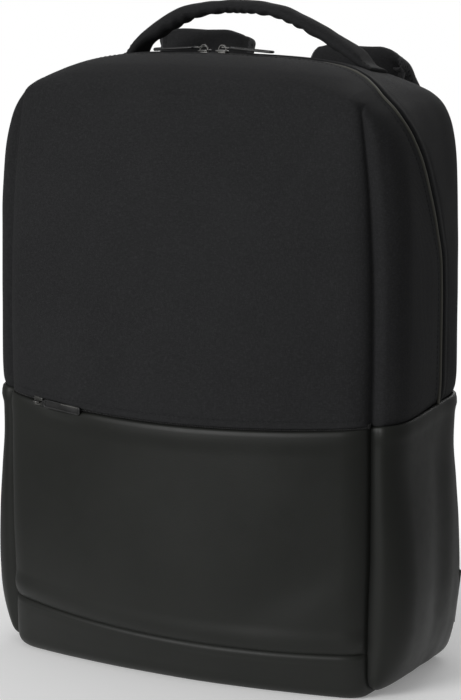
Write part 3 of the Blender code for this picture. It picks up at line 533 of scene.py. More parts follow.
class Nodes:
    """Short calls for a material's node tree."""

    def __init__(self, made):
        self.tree = made.node_tree
        self.shader = self.tree.nodes["Principled BSDF"]
        self.place = self.tree.nodes.new("ShaderNodeTexCoord").outputs["Object"]

    def add(self, kind, inputs=(), **settings):
        node = self.tree.nodes.new(kind)
        for key, value in settings.items():
            setattr(node, key, value)
        for key, value in dict(inputs).items():
            if isinstance(value, bpy.types.NodeSocket):
                self.tree.links.new(value, node.inputs[key])
            else:
                node.inputs[key].default_value = value
        return node

    def scaled(self, scale):
        return self.add("ShaderNodeMapping", {"Vector": self.place, "Scale": scale}).outputs[0]

    def noise(self, scale, detail=2.0, rough=0.5, stretch=(1.0, 1.0, 1.0)):
        return self.add("ShaderNodeTexNoise", {
            "Vector": self.scaled(stretch), "Scale": scale, "Detail": detail,
            "Roughness": rough}).outputs["Fac"]

    def math(self, operation, a, b=0.0, clamp=False):
        node = self.add("ShaderNodeMath", {0: a, 1: b}, operation=operation, use_clamp=clamp)
        return node.outputs[0]

    def ramp(self, value, low, high, to_low=0.0, to_high=1.0):
        return self.add("ShaderNodeMapRange", {
            "Value": value, "From Min": low, "From Max": high, "To Min": to_low,
            "To Max": to_high}).outputs[0]

    def mix(self, factor, a, b):
        node = self.add("ShaderNodeMix", {"Factor": factor, 6: (*a, 1.0) if isinstance(a, tuple)
                        else a, 7: (*b, 1.0) if isinstance(b, tuple) else b}, data_type="RGBA")
        return node.outputs[2]

    def wave(self, axis, scale, distortion=0.0):
        return self.add("ShaderNodeTexWave", {
            "Vector": self.place, "Scale": scale, "Distortion": distortion,
            "Detail": 1.0, "Detail Scale": 2.0}, wave_type="BANDS",
            bands_direction=axis).outputs["Fac"]

    def bump(self, height, distance, strength=1.0, before=None):
        inputs = {"Height": height, "Distance": distance, "Strength": strength}
        if before is not None:
            inputs["Normal"] = before
        return self.add("ShaderNodeBump", inputs).outputs[0]

    def colour(self, socket):
        self.tree.links.new(socket, self.shader.inputs["Base Color"])

    def roughness(self, socket):
        self.tree.links.new(socket, self.shader.inputs["Roughness"])

    def normal(self, socket):
        self.tree.links.new(socket, self.shader.inputs["Normal"])


def woven(name, dark, light, pitch=0.00075, roughness=0.78, sheen=0.02, depth=0.00016):
    """A plain weave of slightly uneven threads in two near tones."""
    made = material(name, dark, roughness, sheen=sheen, sheen_roughness=0.45, specular=0.15)
    n = Nodes(made)
    warp = n.math("MAXIMUM", n.wave("X", 0.5 / pitch, 0.6), n.wave("Y", 0.5 / pitch, 0.6))
    weft = n.wave("Z", 0.5 / pitch, 0.6)
    weave = n.math("MULTIPLY", warp, weft)
    slub = n.noise(1.0 / pitch * 0.9, 3.0, 0.6, (1.0, 1.0, 0.35))
    weft_slub = n.noise(1.0 / pitch * 0.9, 3.0, 0.6, (0.35, 0.35, 1.0))
    tone = n.math("MULTIPLY", n.ramp(slub, 0.30, 0.70), n.ramp(weft_slub, 0.28, 0.72))
    broad = n.noise(16.0, 3.0)
    tone = n.math("ADD", tone, n.ramp(broad, 0.3, 0.7, -0.08, 0.08), clamp=True)
    n.colour(n.mix(tone, dark, light))
    n.roughness(n.ramp(slub, 0.3, 0.7, roughness - 0.06, roughness + 0.06))
    first = n.bump(weave, depth, 0.7)
    n.normal(n.bump(slub, depth * 1.2, 0.55, first))
    return made


def coated(name, dark, light, roughness=0.47, sheen=0.04):
    """Coated cloth: a soft sheen over a fine grain."""
    made = material(name, dark, roughness, sheen=sheen, specular=0.30)
    n = Nodes(made)
    cells = n.add("ShaderNodeTexVoronoi", {"Vector": n.place, "Scale": 1500.0},
                  feature="SMOOTH_F1").outputs["Distance"]
    fine = n.noise(2600.0, 2.0)
    broad = n.noise(14.0, 4.0, 0.55)
    scuff = n.noise(90.0, 4.0, 0.65)
    n.colour(n.mix(n.math("ADD", n.ramp(broad, 0.32, 0.68, 0.15, 0.75),
                          n.ramp(fine, 0.3, 0.7, -0.15, 0.15), clamp=True), dark, light))
    n.roughness(n.math("ADD", n.ramp(broad, 0.3, 0.7, roughness - 0.03, roughness + 0.03),
                       n.ramp(scuff, 0.45, 0.75, 0.0, 0.05)))
    first = n.bump(cells, 0.00007, 0.55)
    n.normal(n.bump(fine, 0.00005, 0.4, first))
    return made


def air_mesh(name):
    """Spacer mesh: a field of small open holes between knitted ribs."""
    made = material(name, (0.012, 0.012, 0.013), 0.85, sheen=0.12)
    n = Nodes(made)
    cells = n.add("ShaderNodeTexVoronoi", {"Vector": n.scaled((1.0, 1.0, 0.7)), "Scale": 380.0,
                                           "Randomness": 0.15}).outputs["Distance"]
    hole = n.ramp(cells, 0.22, 0.42)
    fuzz = n.noise(2200.0, 2.0)
    # the holes are coloured darker than the ribs: painted shade inside the holes
    n.colour(n.mix(hole, (0.006, 0.006, 0.007), (0.030, 0.030, 0.032)))
    first = n.bump(hole, 0.0006, 0.8)
    n.normal(n.bump(fuzz, 0.0001, 0.5, first))
    return made


def ribbed(name, dark, light, pitch, axis="X", roughness=0.7):
    """Narrow woven tape with ribs across it."""
    made = material(name, dark, roughness, sheen=0.08, specular=0.4)
    n = Nodes(made)
    ribs = n.wave(axis, 1.0 / pitch / 2.0, 0.3)
    rows = n.wave("DIAGONAL", 1.0 / pitch / 3.0, 0.8)
    fuzz = n.noise(1800.0, 2.0)
    # the colour follows the ribs, darker in their troughs: painted shade between the ribs; the fuzz
    # adds a random tone
    n.colour(n.mix(n.math("MULTIPLY", ribs, n.ramp(fuzz, 0.3, 0.7, 0.4, 1.0)), dark, light))
    first = n.bump(ribs, 0.00025, 0.7)
    n.normal(n.bump(rows, 0.00010, 0.5, first))
    return made


def moulded(name, colour, roughness=0.36, metallic=0.0, wear=(0.05, 0.05, 0.05)):
    """Moulded plastic or plated metal with faint texture and worn edges."""
    made = material(name, colour, roughness, metallic)
    n = Nodes(made)
    fine = n.noise(1600.0, 3.0, 0.6)
    broad = n.noise(120.0, 3.0, 0.6)
    edge = n.add("ShaderNodeNewGeometry").outputs["Pointiness"]
    worn = n.math("MULTIPLY", n.ramp(edge, 0.52, 0.62), n.ramp(broad, 0.4, 0.6), clamp=True)
    n.colour(n.mix(worn, colour, wear))
    n.roughness(n.math("ADD", n.ramp(broad, 0.3, 0.7, roughness - 0.05, roughness + 0.06),
                       n.ramp(fine, 0.3, 0.7, -0.02, 0.03)))
    n.normal(n.bump(fine, 0.00004, 0.35))
    return made


WOVEN = woven("woven_cloth", (0.0150, 0.0152, 0.0160), (0.0325, 0.0330, 0.0345))
COATED = coated("coated_cloth", (0.0072, 0.0080, 0.0064), (0.0112, 0.0122, 0.0102), sheen=0.015)
MESH = air_mesh("air_mesh")
TAPE = ribbed("zip_tape", (0.004, 0.004, 0.004), (0.012, 0.012, 0.012), 0.0006)
WEBBING = ribbed("webbing", (0.010, 0.010, 0.011), (0.028, 0.028, 0.030), 0.0012, "Z")
PIPING = coated("piping", (0.060, 0.059, 0.048), (0.085, 0.083, 0.070), 0.5)
THREAD = material("thread", (0.014, 0.014, 0.015), 0.6, specular=0.2)
METAL = moulded("dark_metal", (0.11, 0.11, 0.105), 0.40, 1.0, (0.27, 0.26, 0.25))
PLASTIC = moulded("black_plastic", (0.006, 0.006, 0.006), 0.42, wear=(0.03, 0.03, 0.03))
COIL = moulded("coil", (0.010, 0.010, 0.010), 0.4)

THREAD_NODES = Nodes(THREAD)
THREAD_NODES.normal(THREAD_NODES.bump(THREAD_NODES.wave("DIAGONAL", 900.0), 0.00006, 0.7))


# ---- the woven upper ----
FACE = spread(161, 3.0)
EDGE_FOOT = BASE_HEIGHT + POCKET_OPENING / 2 - 0.0010     # lower edge of the woven front
EDGE_TOP = BASE_HEIGHT - POCKET_OPENING / 2 + BASE_MARGIN  # upper edge of the coated front


def gape(x):
    """How much the pocket's edges stand apart near its slider."""
    return bump((x + 0.094) / 0.038)


def rows_over(share, count):
    """The arch's rows over the top at shares of the width between its corners."""
    rows = np.linspace(CORNER_ROW, LAST_ROW - CORNER_ROW, count)
    return np.interp(-share, -arch(rows, 0) / arch(CORNER_ROW, 0), rows)


def upper(name="woven_body"):
    cloth = Cloth()
    climbs = np.linspace(0.0, 1.0, 112) ** 1.2
    rows = climbs * CORNER_ROW
    seam_z = front_z(rows)
    seam_z = EDGE_FOOT + (seam_z - seam_z[0]) * (seam_z[-1] - EDGE_FOOT) / (seam_z[-1] - seam_z[0])
    climb = (seam_z - seam_z[0]) / (seam_z[-1] - seam_z[0])
    top_z = front_z(CORNER_ROW)
    under_top = smooth((top_z - seam_z) / 0.020)

    fold_rows = rows_over(FACE, 400)
    high = front_z(fold_rows)
    low = line_height(EDGE_FOOT, FACE * SEAM_HALF)
    z = low[:, None] + (high - low)[:, None] * climb[None, :]
    share = np.broadcast_to(FACE[:, None], z.shape)
    face = face_point(share, z)
    x = face[..., 0]
    away = (1.0 - np.abs(share)) * seam_half(z)
    depth = groove(away, SEAM_SINK, SEAM_FADE)
    # the hem's stitched line and the lip over the pocket's zip
    above = z - low[:, None]
    depth += groove(above - 0.0040, STITCH_SINK, 0.0011) * smooth(away / 0.008)
    depth -= 0.0026 * gape(x) * smooth(1.0 - above / 0.016)
    face[..., 2] += 0.0024 * gape(x) * smooth(1.0 - above / 0.016)
    calm = smooth(away / 0.03) * smooth(above / 0.02) * smooth((high[:, None] - z) / 0.025)
    depth += calm * (0.0010 * crinkle(face, 0.10, 3.0) + 0.0004 * crinkle(face, 0.035, 7.0))
    # soft creases that run down from the dart ends
    for side in (-1.0, 1.0):
        depth += 0.0009 * groove(side * x - 0.092 - (z - 0.37) * 0.55, 1.0, 0.009) \
            * smooth((z - 0.32) / 0.04) * smooth((0.425 - z) / 0.03)
    cloth.grid(hem(sink(face, depth), False, HEM))

    # over the top, from the front's upper edge back to the main zip
    turn = 1.0 - np.cos(np.linspace(0.0, pi / 2, 18))
    rest = np.linspace(0.0, 1.0, 13)[1:]

    def across(row_values):
        start = fold_y(row_values)
        edge = zip_y(row_values) - ZIP_OPENING / 2
        limit = np.minimum(start + arch(row_values, 5) * DEPTH, edge - 0.004)
        first = start[:, None] + (limit - start)[:, None] * turn[None, :]
        second = limit[:, None] + (edge - limit)[:, None] * rest[None, :]
        return np.concatenate([first, second], 1)

    y = across(fold_rows)
    top = arch_point(fold_rows[:, None], y)
    corner = np.abs(FACE)[:, None]
    reach = smooth((corner - 0.70) / 0.30)
    soft = smooth((y - y[:, :1]) / 0.01) * smooth((1.0 - corner) / 0.05)
    depth = soft * 0.0010 * crinkle(top, 0.085, 11.0)
    depth += 0.0006 * reach * soft * crinkle(top, 0.018, 5.0, (1.0, 0.4, 1.0))
    depth += groove(y[:, -1:] - y - ZIP_STITCH, STITCH_SINK, STITCH_FADE) * smooth(
        (1.0 - corner) / 0.05)
    # the front seam runs on a little way over the corner
    run_on = smooth(1.0 - (y - y[:, :1]) / SEAM_RUN_ON)
    depth += groove((1.0 - corner) * seam_half(high)[:, None], SEAM_SINK, SEAM_FADE) * run_on
    cloth.grid(hem(sink(top, depth), True, HEM))

    # the sides, from the front seam back to the main zip
    for side in (1.0, -1.0):
        y = across(rows)
        wall = arch_point(rows[:, None], y)
        low_fade = smooth(1.0 - rows / SEAM_ROWS)[:, None]
        wall[..., 2] += low_fade * (coated_seam(y) - BASE_HEIGHT + 0.0006)
        wall[:, 0, 2] = seam_z
        wall[:, 0, 0] = seam_half(seam_z)
        away = np.linalg.norm(wall - wall[:, :1], axis=-1)
        from_top = np.linalg.norm(wall - wall[-1:], axis=-1)
        run_on = smooth(1.0 - (y - y[:, :1]) / SEAM_RUN_ON)
        depth = np.maximum(groove(away, SEAM_SINK, SEAM_FADE),
                           groove(from_top, SEAM_SINK, SEAM_FADE) * run_on)
        depth -= 0.0008 * bump((away - 0.0065) / 0.0060) * under_top[:, None]
        calm = smooth(away / 0.012) * smooth((y[:, -1:] - y) / 0.010)
        calm = calm * under_top[:, None]
        mirrored = wall * np.array((side, 1.0, 1.0))
        depth += calm * (0.0011 * crinkle(mirrored, 0.070, 17.0, (1.0, 1.6, 0.7))
                         + 0.0004 * crinkle(mirrored, 0.022, 23.0, (1.0, 1.0, 0.5)))
        depth += groove(y[:, -1:] - y - ZIP_STITCH, STITCH_SINK, STITCH_FADE) * calm
        low_edge = wall[..., 2] - wall[:1, :, 2]
        depth += groove(low_edge, 0.0022, 0.0030) * smooth(away / 0.004)
        wall = sink(wall, depth) * np.array((side, 1.0, 1.0))
        cloth.grid(hem(wall, True, HEM))

    def at_fold(places):
        fold = np.interp(places[:, 0], -np.flip(FACE) * arch(CORNER_ROW, 0) * SEAM_HALF, high)
        near = np.abs(places[:, 2] - fold) < 0.011
        return near & (np.abs(places[:, 0]) < 0.86 * SEAM_HALF) & (places[:, 1] < -0.035)

    return cloth.build(name, [WOVEN], SHEET, relax=1, soft=at_fold)


def rear(name="rear_band"):
    """The woven band behind the main zip, over the top from side to side."""
    cloth = Cloth()
    rows = np.linspace(0.0, LAST_ROW, 260)
    edge = zip_y(rows) + ZIP_OPENING / 2
    steps = (spread(34, 0.8) + 1.0) / 2.0
    y = edge[:, None] + (BACK_Y - edge)[:, None] * steps[None, :]
    wall = arch_point(rows[:, None], y)
    ends = smooth(1.0 - np.minimum(rows, LAST_ROW - rows) / SEAM_ROWS)[:, None]
    wall[..., 2] += ends * (coated_seam(y) - BASE_HEIGHT + 0.0006)
    away = np.minimum(BACK_Y - y, 0.05)
    near = y - edge[:, None]
    calm = smooth(away / 0.012) * smooth(near / 0.012)
    depth = calm * (0.0013 * crinkle(wall, 0.075, 31.0, (1.0, 1.4, 0.8))
                    + 0.0005 * crinkle(wall, 0.024, 37.0))
    depth += groove(near - 0.0055, STITCH_SINK, STITCH_FADE)
    depth += groove(away, 0.0032, 0.0020)
    low_edge = np.minimum(wall[..., 2] - wall[:1, :, 2], 1.0)
    depth += groove(np.where(ends > 0.0, low_edge, 1.0), 0.0022, 0.0030)
    cloth.grid(hem(sink(wall, depth), False, HEM))
    return cloth.build(name, [WOVEN], SHEET, relax=1)


# ---- the coated base ----
CORNER_TOP = SEAM_LIFT + BASE_RADIUS


def base_rows(side):
    """Heights up the front seam, and the number of the row at the band's seam."""
    arc = SEAM_LIFT + BASE_RADIUS * (1.0 - np.cos(np.linspace(0.0, pi / 2, CORNER_STEPS + 1)))
    band = float(band_seam(side * SEAM_HALF))
    low = arc[-1] + (band - arc[-1]) * (1.0 - (1.0 - np.linspace(0.0, 1.0, 18)[1:]) ** 1.7)
    high = band + (EDGE_TOP - band) * np.linspace(0.0, 1.0, 78)[1:] ** 1.45
    return np.concatenate([arc, low, high]), len(arc) + len(low) - 1


def coated_base(name="coated_base"):
    cloth = Cloth()
    right, seam_row = base_rows(1.0)
    left, _ = base_rows(-1.0)
    x_edge = FACE * SEAM_HALF
    mix = (FACE[:, None] + 1.0) / 2.0
    edge_z = left[None, :] * (1.0 - mix) + right[None, :] * mix

    # the band and the pocket's front
    flat = quarter((1.0 - np.abs(FACE)) / BASE_LIFT_SHARE)
    low = SEAM_LIFT * (1.0 - flat)
    band = band_seam(x_edge)
    top = line_height(EDGE_TOP, x_edge)
    edge_band = edge_z[:, seam_row]
    edge_top = edge_z[:, -1]
    z = np.empty_like(edge_z)
    for k in range(edge_z.shape[1]):
        e = edge_z[:, k]
        if k <= CORNER_STEPS:
            z[:, k] = low + (e - SEAM_LIFT)
        elif k <= seam_row:
            t = (e - CORNER_TOP) / (edge_band - CORNER_TOP)
            z[:, k] = low + BASE_RADIUS + (band - low - BASE_RADIUS) * t
        else:
            t = (e - edge_band) / (edge_top - edge_band)
            z[:, k] = band + (top - band) * t
    shares = np.broadcast_to(FACE[:, None], z.shape)
    face = face_point(shares, z)
    half = seam_half(edge_z)
    face[..., 0] = shares * half
    set_back = base_start(edge_z) - FRONT_Y
    ref = np.maximum(z, (low + BASE_RADIUS)[:, None])
    face[..., 1] = front_y(shares * half, ref) + set_back
    away = (1.0 - np.abs(shares)) * half
    x = face[..., 0]
    depth = groove(away, BASE_SINK, BASE_FADE)
    to_band = z - band[:, None]
    fade = smooth(away / 0.004)
    depth += groove(to_band, 0.0030, np.where(to_band > 0.0, 0.0026, 0.0011)) * fade
    depth -= 0.0012 * bump((to_band - 0.010) / 0.011) * fade
    depth += groove(to_band + 0.0045, 0.0004, 0.0010) * fade
    below = top[:, None] - z
    depth -= 0.0007 * bump((below - 0.007) / 0.009) * fade
    depth += 0.0020 * gape(x) * smooth(1.0 - below / 0.010)
    face[..., 2] -= 0.0018 * gape(x) * smooth(1.0 - below / 0.014)
    # the soft dent that runs down from the right-hand seam
    run = (z - 0.060) * 0.86 - (x - 0.062) * 0.50
    along = (x - 0.062) * 0.86 + (z - 0.060) * 0.50
    dent = np.exp(-(run / 0.017) ** 2) * smooth((along + 0.05) / 0.08) \
        * smooth((0.10 - along) / 0.04)
    ridge = np.exp(-((run + 0.028) / 0.017) ** 2) * smooth((along + 0.03) / 0.07) \
        * smooth((0.09 - along) / 0.04)
    depth += (0.0018 * dent - 0.0008 * ridge) * smooth(away / 0.012)
    calm = smooth(away / 0.02) * smooth(np.abs(to_band) / 0.01) * smooth(below / 0.01)
    depth += calm * (0.0009 * crinkle(face, 0.11, 41.0) + 0.0003 * crinkle(face, 0.04, 43.0))
    cloth.grid(hem(sink(face, depth), True, HEM))

    # the underside, and its round back edge
    inner = FRONT_Y + BASE_RADIUS
    y_line = inner * -spread(62, 2.0)
    front = front_y(FACE * seam_half(SEAM_LIFT), low + BASE_RADIUS) + BASE_RADIUS
    t = (y_line - inner) / (-2.0 * inner)
    y = front[:, None] * (1.0 - t) + (-inner) * t
    under = np.stack([np.broadcast_to(FACE[:, None] * seam_half(SEAM_LIFT), y.shape), y,
                      np.broadcast_to(low[:, None], y.shape)], -1)
    edge_away = (1.0 - np.abs(FACE))[:, None] * SEAM_HALF
    edge_groove = groove(edge_away, BASE_SINK, BASE_FADE)
    cloth.grid(sink(under, edge_groove * np.ones_like(y)))
    arc_z = right[:CORNER_STEPS + 1]
    # its ends lie on the back edges of the two sides
    end = base_point(-base_start(arc_z), arc_z, 1.0)
    end[0, 0] = seam_half(SEAM_LIFT)
    end_low = np.linalg.norm(end - end[:1], axis=-1)
    end_depth = groove(end_low, BASE_SINK, SIDE_FADE) + BACK_SINK * smooth(end_low / 0.02)
    back = np.stack([
        FACE[:, None] * end[:, 0][None, :],
        np.broadcast_to(end[:, 1][None, :], (len(FACE), len(arc_z))),
        low[:, None] + (arc_z - SEAM_LIFT)[None, :] * ((CORNER_TOP - low) / BASE_RADIUS)[:, None],
    ], -1)
    lip = np.linspace(0.0, 1.0, len(arc_z))[None, :]
    cloth.grid(sink(back, edge_groove * (end_depth / end_depth[0])[None, :]
                    + 0.0015 * smooth(lip * 2.0 - 1.0) * smooth(edge_away / 0.004)))

    # the two sides
    for heights, side in ((right, 1.0), (left, -1.0)):
        start = base_start(heights)[:, None]
        y = start * (1.0 - 2.0 * t)
        lift = smooth((heights - 0.150) / 0.045)[:, None]
        z = heights[:, None] + lift * (coated_seam(y) - BASE_HEIGHT + 0.0014)
        z[:, 0] = heights
        wall = base_point(y, z, 1.0)
        wall[:, 0, 0] = seam_half(heights)
        wall[0, :, 0] = seam_half(SEAM_LIFT)
        away_front = np.linalg.norm(wall - wall[:, :1], axis=-1)
        away_low = np.linalg.norm(wall - wall[:1], axis=-1)
        away = np.minimum(away_front, away_low)
        depth = groove(away, BASE_SINK, SIDE_FADE)
        back_away = wall[:, -1:, 1] - wall[..., 1]
        depth += groove(back_away, BACK_SINK, BASE_FADE) * smooth(away_low / 0.02)
        below = coated_seam(wall[..., 1]) - wall[..., 2]
        depth -= 0.0013 * bump((below - 0.0060) / 0.0075) * smooth(away / 0.006)
        depth += groove(below - 0.0105, 0.0004, 0.0011) * smooth(away / 0.006)
        # the long soft fold behind the middle of the side, and creases at the lower corner
        fold_line = 0.022 + 0.022 * (wall[..., 2] - 0.03) / 0.17
        fold = np.exp(-((wall[..., 1] - fold_line) / 0.013) ** 2) * smooth(wall[..., 2] / 0.06)
        dip = np.exp(-((wall[..., 1] - fold_line + 0.026) / 0.014) ** 2) * smooth(
            wall[..., 2] / 0.06) * smooth((0.19 - wall[..., 2]) / 0.05)
        depth += smooth(away / 0.02) * (0.0012 * dip - 0.0016 * fold)
        mirrored = wall * np.array((side, 1.0, 1.0))
        calm = smooth(away / 0.02) * smooth(back_away / 0.01) * smooth(below / 0.012)
        creased = smooth((0.075 - wall[..., 2]) / 0.05) * smooth((wall[..., 1] + 0.02) / 0.03)
        depth += calm * (0.0010 * crinkle(mirrored, 0.080, 47.0)
                         + creased * 0.0016 * crinkle(mirrored, 0.022, 53.0, (1.0, 1.4, 0.7)))
        wall = sink(wall, depth) * np.array((side, 1.0, 1.0))
        cloth.grid(hem(wall.transpose(1, 0, 2), True, HEM))
    return cloth.build(name, [COATED], SHEET, relax=1)


# ---- the padded back ----
def back_pad(name="back_pad"):
    """Spacer mesh over foam, with sewn channels."""
    cloth = Cloth()
    share = spread(96, 0.9)
    climb = (spread(128, 0.9) + 1.0) / 2.0
    foot = CORNER_TOP - 0.0008
    top = arch_point(rows_over(share, 200), BACK_Y)[:, 2] - 0.001
    z = foot + (top - foot)[:, None] * climb[None, :]
    shoulder = float(arch_point(CORNER_ROW, BACK_Y)[2])
    half = back_half(np.minimum(z, shoulder)) - 0.001
    x = share[:, None] * half
    edge = np.minimum(np.minimum(half - np.abs(x), top[:, None] - z), z - foot)
    rise = PAD_RISE * quarter(edge / PAD_EDGE)
    loft = groove(np.abs(x) - CHANNEL_X, CHANNEL_DEPTH, CHANNEL_WIDTH)
    for level in CHANNEL_LEVELS:
        loft += groove(z - level, CHANNEL_DEPTH, CHANNEL_WIDTH) * smooth(
            (np.abs(x) - CHANNEL_X) / 0.004)
    loft *= smooth(edge / 0.02)
    panel_rise = 0.0038 * smooth(edge / 0.03)
    y = BACK_Y + rise + panel_rise - loft
    front = np.stack([x, y, z], -1)
    front[..., 1] += 0.0004 * crinkle(front, 0.03, 61.0)
    behind = np.stack([x, np.full_like(z, BACK_Y - 0.0050), z], -1)
    rim = np.array((0.995, 1.0, 1.0))
    cloth.grid(front)
    cloth.grid(behind * rim)
    for a, b in ((front[0], behind[0]), (front[-1], behind[-1]),
                 (front[:, 0], behind[:, 0]), (front[:, -1], behind[:, -1])):
        cloth.grid(np.stack([a, b * rim], 0))
    return cloth.build(name, [MESH], outward=lambda at: np.array((0.0, -1.0, 0.0)))


# ---- zips ----
ZIP_ROWS = np.linspace(0.17, LAST_ROW - 0.17, 900)


def surface_tree(*pieces):
    """The cloth pieces' own surfaces, to lay threads on."""
    places, faces = [], []
    for piece in pieces:
        start = len(places)
        places += [vert.co.copy() for vert in piece.data.vertices]
        faces += [[start + i for i in face.vertices] for face in piece.data.polygons]
    return BVHTree.FromPolygons(places, faces)


def laid(tree, points):
    """Points moved in or out onto the surface, where it lies within reach, and their way out."""
    out = -inward(points)
    moved = []
    for point, way in zip(points, out):
        hit = tree.ray_cast(Vector(point + way * 0.008), Vector(-way), 0.016)[0]
        moved.append(point if hit is None else np.array(hit))
    return np.array(moved), out


def zip_points(shift):
    return arch_point(ZIP_ROWS, zip_y(ZIP_ROWS) + shift)


def ribbon(name, lines):
    """A zip's tape through lines of points on the bag, set in below the cloth."""
    cloth = Cloth()
    points = np.stack(lines, 1)
    cloth.grid(sink(points, np.full(points.shape[:2], TAPE_DEPTH)))
    return cloth.build(name, [TAPE], TAPE_THICKNESS)


def teeth(name, centre, before, after):
    """The coil's turns, across a line of points."""
    pitch, half, depth = 0.0013, 0.0016, TAPE_DEPTH - 0.0006
    fine = resample(centre, pitch)
    lengths = lengths_along(centre)
    at = np.linspace(0.0, lengths[-1], len(fine))
    across = unit(np.stack([np.interp(at, lengths, (after - before)[:, k]) for k in range(3)], -1))
    fine = sink(fine, np.full(len(fine), depth))
    lean = unit(np.gradient(fine, axis=0)) * pitch * 0.25
    lines = [(np.stack([p - a * half - b, p + a * half + b]), np.stack([o, o]))
             for p, a, b, o in zip(fine, across, lean, -inward(fine))]
    return stitches(name, lines, COIL, length=2 * half, gap=0.0, radius=0.00050)


def pocket_points(offset):
    x = FACE * seam_half(BASE_HEIGHT) * 0.996
    z = line_height(BASE_HEIGHT, x) + offset
    return np.stack([x, front_y(x, z), z], -1)


# ---- padded strips ----
def curve(values, count):
    """Even steps along a smooth curve through rows, whose first three columns are the place."""
    values = np.asarray(values, float)
    knots = lengths_along(values[:, :3])
    slopes = np.gradient(values, knots, axis=0)
    q = np.linspace(0.0, knots[-1], count)
    i = np.clip(np.searchsorted(knots, q) - 1, 0, len(knots) - 2)
    h = (knots[i + 1] - knots[i])[:, None]
    t = (q - knots[i])[:, None] / h
    return ((2 * t ** 3 - 3 * t ** 2 + 1) * values[i] + (t ** 3 - 2 * t ** 2 + t) * h * slopes[i]
            + (3 * t ** 2 - 2 * t ** 3) * values[i + 1] + (t ** 3 - t ** 2) * h * slopes[i + 1])


def strip(name, rows, profile, materials, slots=None, count=150, columns=41, ripple=None):
    """A strip of cloth, padded or flat. Rows hold a place, the direction across, a width and a
    thickness. Returns the piece and a function for lines at a distance from its edges."""
    line = curve(rows, count)
    place = line[:, :3]
    along = unit(np.gradient(place, axis=0))
    across = line[:, 3:6] - along * (along * line[:, 3:6]).sum(1, keepdims=True)
    across = unit(across)
    out = np.cross(along, across)
    width, thick = line[:, 6], line[:, 7]
    u = spread(columns, 5.0)
    inset = (1.0 - np.abs(u))[None, :] * width[:, None] / 2
    half = profile(np.broadcast_to(np.abs(u), inset.shape), inset, thick[:, None])
    flat = place[:, None] + across[:, None] * (u[None, :] * width[:, None] / 2)[..., None]
    cloth = Cloth()
    faces = []
    for number, side in enumerate((1.0, -1.0)):
        wall = flat + side * out[:, None] * half[..., None]
        if ripple is not None:
            wall = wall + out[:, None] * ripple(wall, side, half, inset)[..., None]
        middle = (inset[:-1, :-1] + inset[1:, 1:]) / 2
        cloth.grid(wall, 0 if slots is None else slots(number, middle))
        faces.append(wall)
    for end in (0, -1):
        cloth.grid(np.stack([faces[0][end], faces[1][end]]))
    piece = cloth.build(name, materials, closed=True)

    def edge_line(inset_by, edge, side, first=0, last=None):
        share = np.broadcast_to(1.0 - 2.0 * inset_by / width, width.shape)
        lift = profile(share[:, None], np.full((len(width), 1), inset_by), thick[:, None])[:, 0]
        points = place + across * (edge * share * width / 2)[:, None] + side * out * lift[:, None]
        if ripple is not None:
            points = points + out * ripple(points, side, lift, inset_by)[:, None]
        return points[first:last], (side * out)[first:last]

    return piece, edge_line


def foam(u, inset, thick):
    """Foam that rolls over into a sewn edge."""
    return thick / 2 * quarter(inset / 0.0125) ** 0.8 - 0.0005 * np.exp(
        -((inset - 0.0062) / 0.0012) ** 2)


def plump(u, inset, thick):
    power = 2.3 + 7.0 * np.clip(1.0 - thick / HANDLE_THICKNESS, 0.0, 1.0)
    return thick / 2 * np.sqrt(np.clip(1.0 - u ** power, 0.0, 1.0))


def thin(u, inset, thick):
    return thick / 2 * quarter(inset / 0.0008)


def row_across(x):
    rows = np.linspace(CORNER_ROW, MIDDLE_ROW, 601)[::-1]
    row = np.interp(abs(x), arch(rows, 2) * SIDE_HALF, rows)
    return row if x >= 0.0 else 2 * MIDDLE_ROW - row


def handle_rows():
    foot = float(arch_point(row_across(HANDLE_HALF_SPAN), HANDLE_Y)[2])
    rows = []
    for side, table in ((-1.0, HANDLE_SECTIONS), (1.0, HANDLE_SECTIONS[-2::-1])):
        for share, left_rise, right_rise, width, thickness in table:
            rise = right_rise if side > 0.0 else left_rise
            x = side * share * HANDLE_HALF_SPAN
            place = np.array((x, HANDLE_Y, foot))
            across = np.array((0.0, 1.0, 0.0))
            thick = thickness * HANDLE_THICKNESS
            if side < 0.0:
                # the padding is fullest on the left
                thick *= 1.0 + 0.28 * bump((share - 0.62) / 0.45)
            if rise is None:
                row = row_across(x)
                low = arch_point(row, HANDLE_Y - HANDLE_WIDTH / 2)
                far = arch_point(row, HANDLE_Y + HANDLE_WIDTH / 2)
                across = unit(far - low)
                out = np.array((0.0, -across[2], across[1]))
                place = arch_point(row, HANDLE_Y) + out * (HANDLE_SEAT + thick / 2)
            else:
                place[2] = foot + rise * HANDLE_RISE
            rows.append((*place, *across, width * HANDLE_WIDTH, thick))
    return rows


def handle():
    def ripple(wall, side, half, inset):
        x = wall[..., 0]
        reach = smooth((0.092 - np.abs(x)) / 0.02)
        waves = np.sin(x * 2 * pi / 0.0098 + 3.1 * np.sin(x * 57.0) + 2.0 * np.sin(x * 131.0 + 1.0))
        low = 0.00050 * waves * smooth((0.5 - side * 0.5) * 2.0)
        folds = 0.0005 * crinkle(wall, 0.012, 71.0, (1.0, 0.35, 1.0))
        return reach * (low + folds) * smooth(half / 0.002)

    return strip("handle_grip", handle_rows(), plump, [WOVEN], count=260, columns=37,
                 ripple=ripple)


def strap_rows(side, crest):
    drop = crest - STRAP_TIP_Z
    rows = []
    for across, behind, height, width, thickness in STRAP_SECTIONS:
        thick = thickness * STRAP_THICKNESS
        z = STRAP_ROOT_Z if height is None else STRAP_TIP_Z + height * drop
        x = side * (STRAP_ROOT_X + across * STRAP_SPREAD)
        y = BACK_Y + PAD_RISE + 0.0004 + thick / 2 + behind * STRAP_REACH
        rows.append((x, y, z, 1.0, 0.0, 0.0, width * STRAP_WIDTH, thick))
    return rows


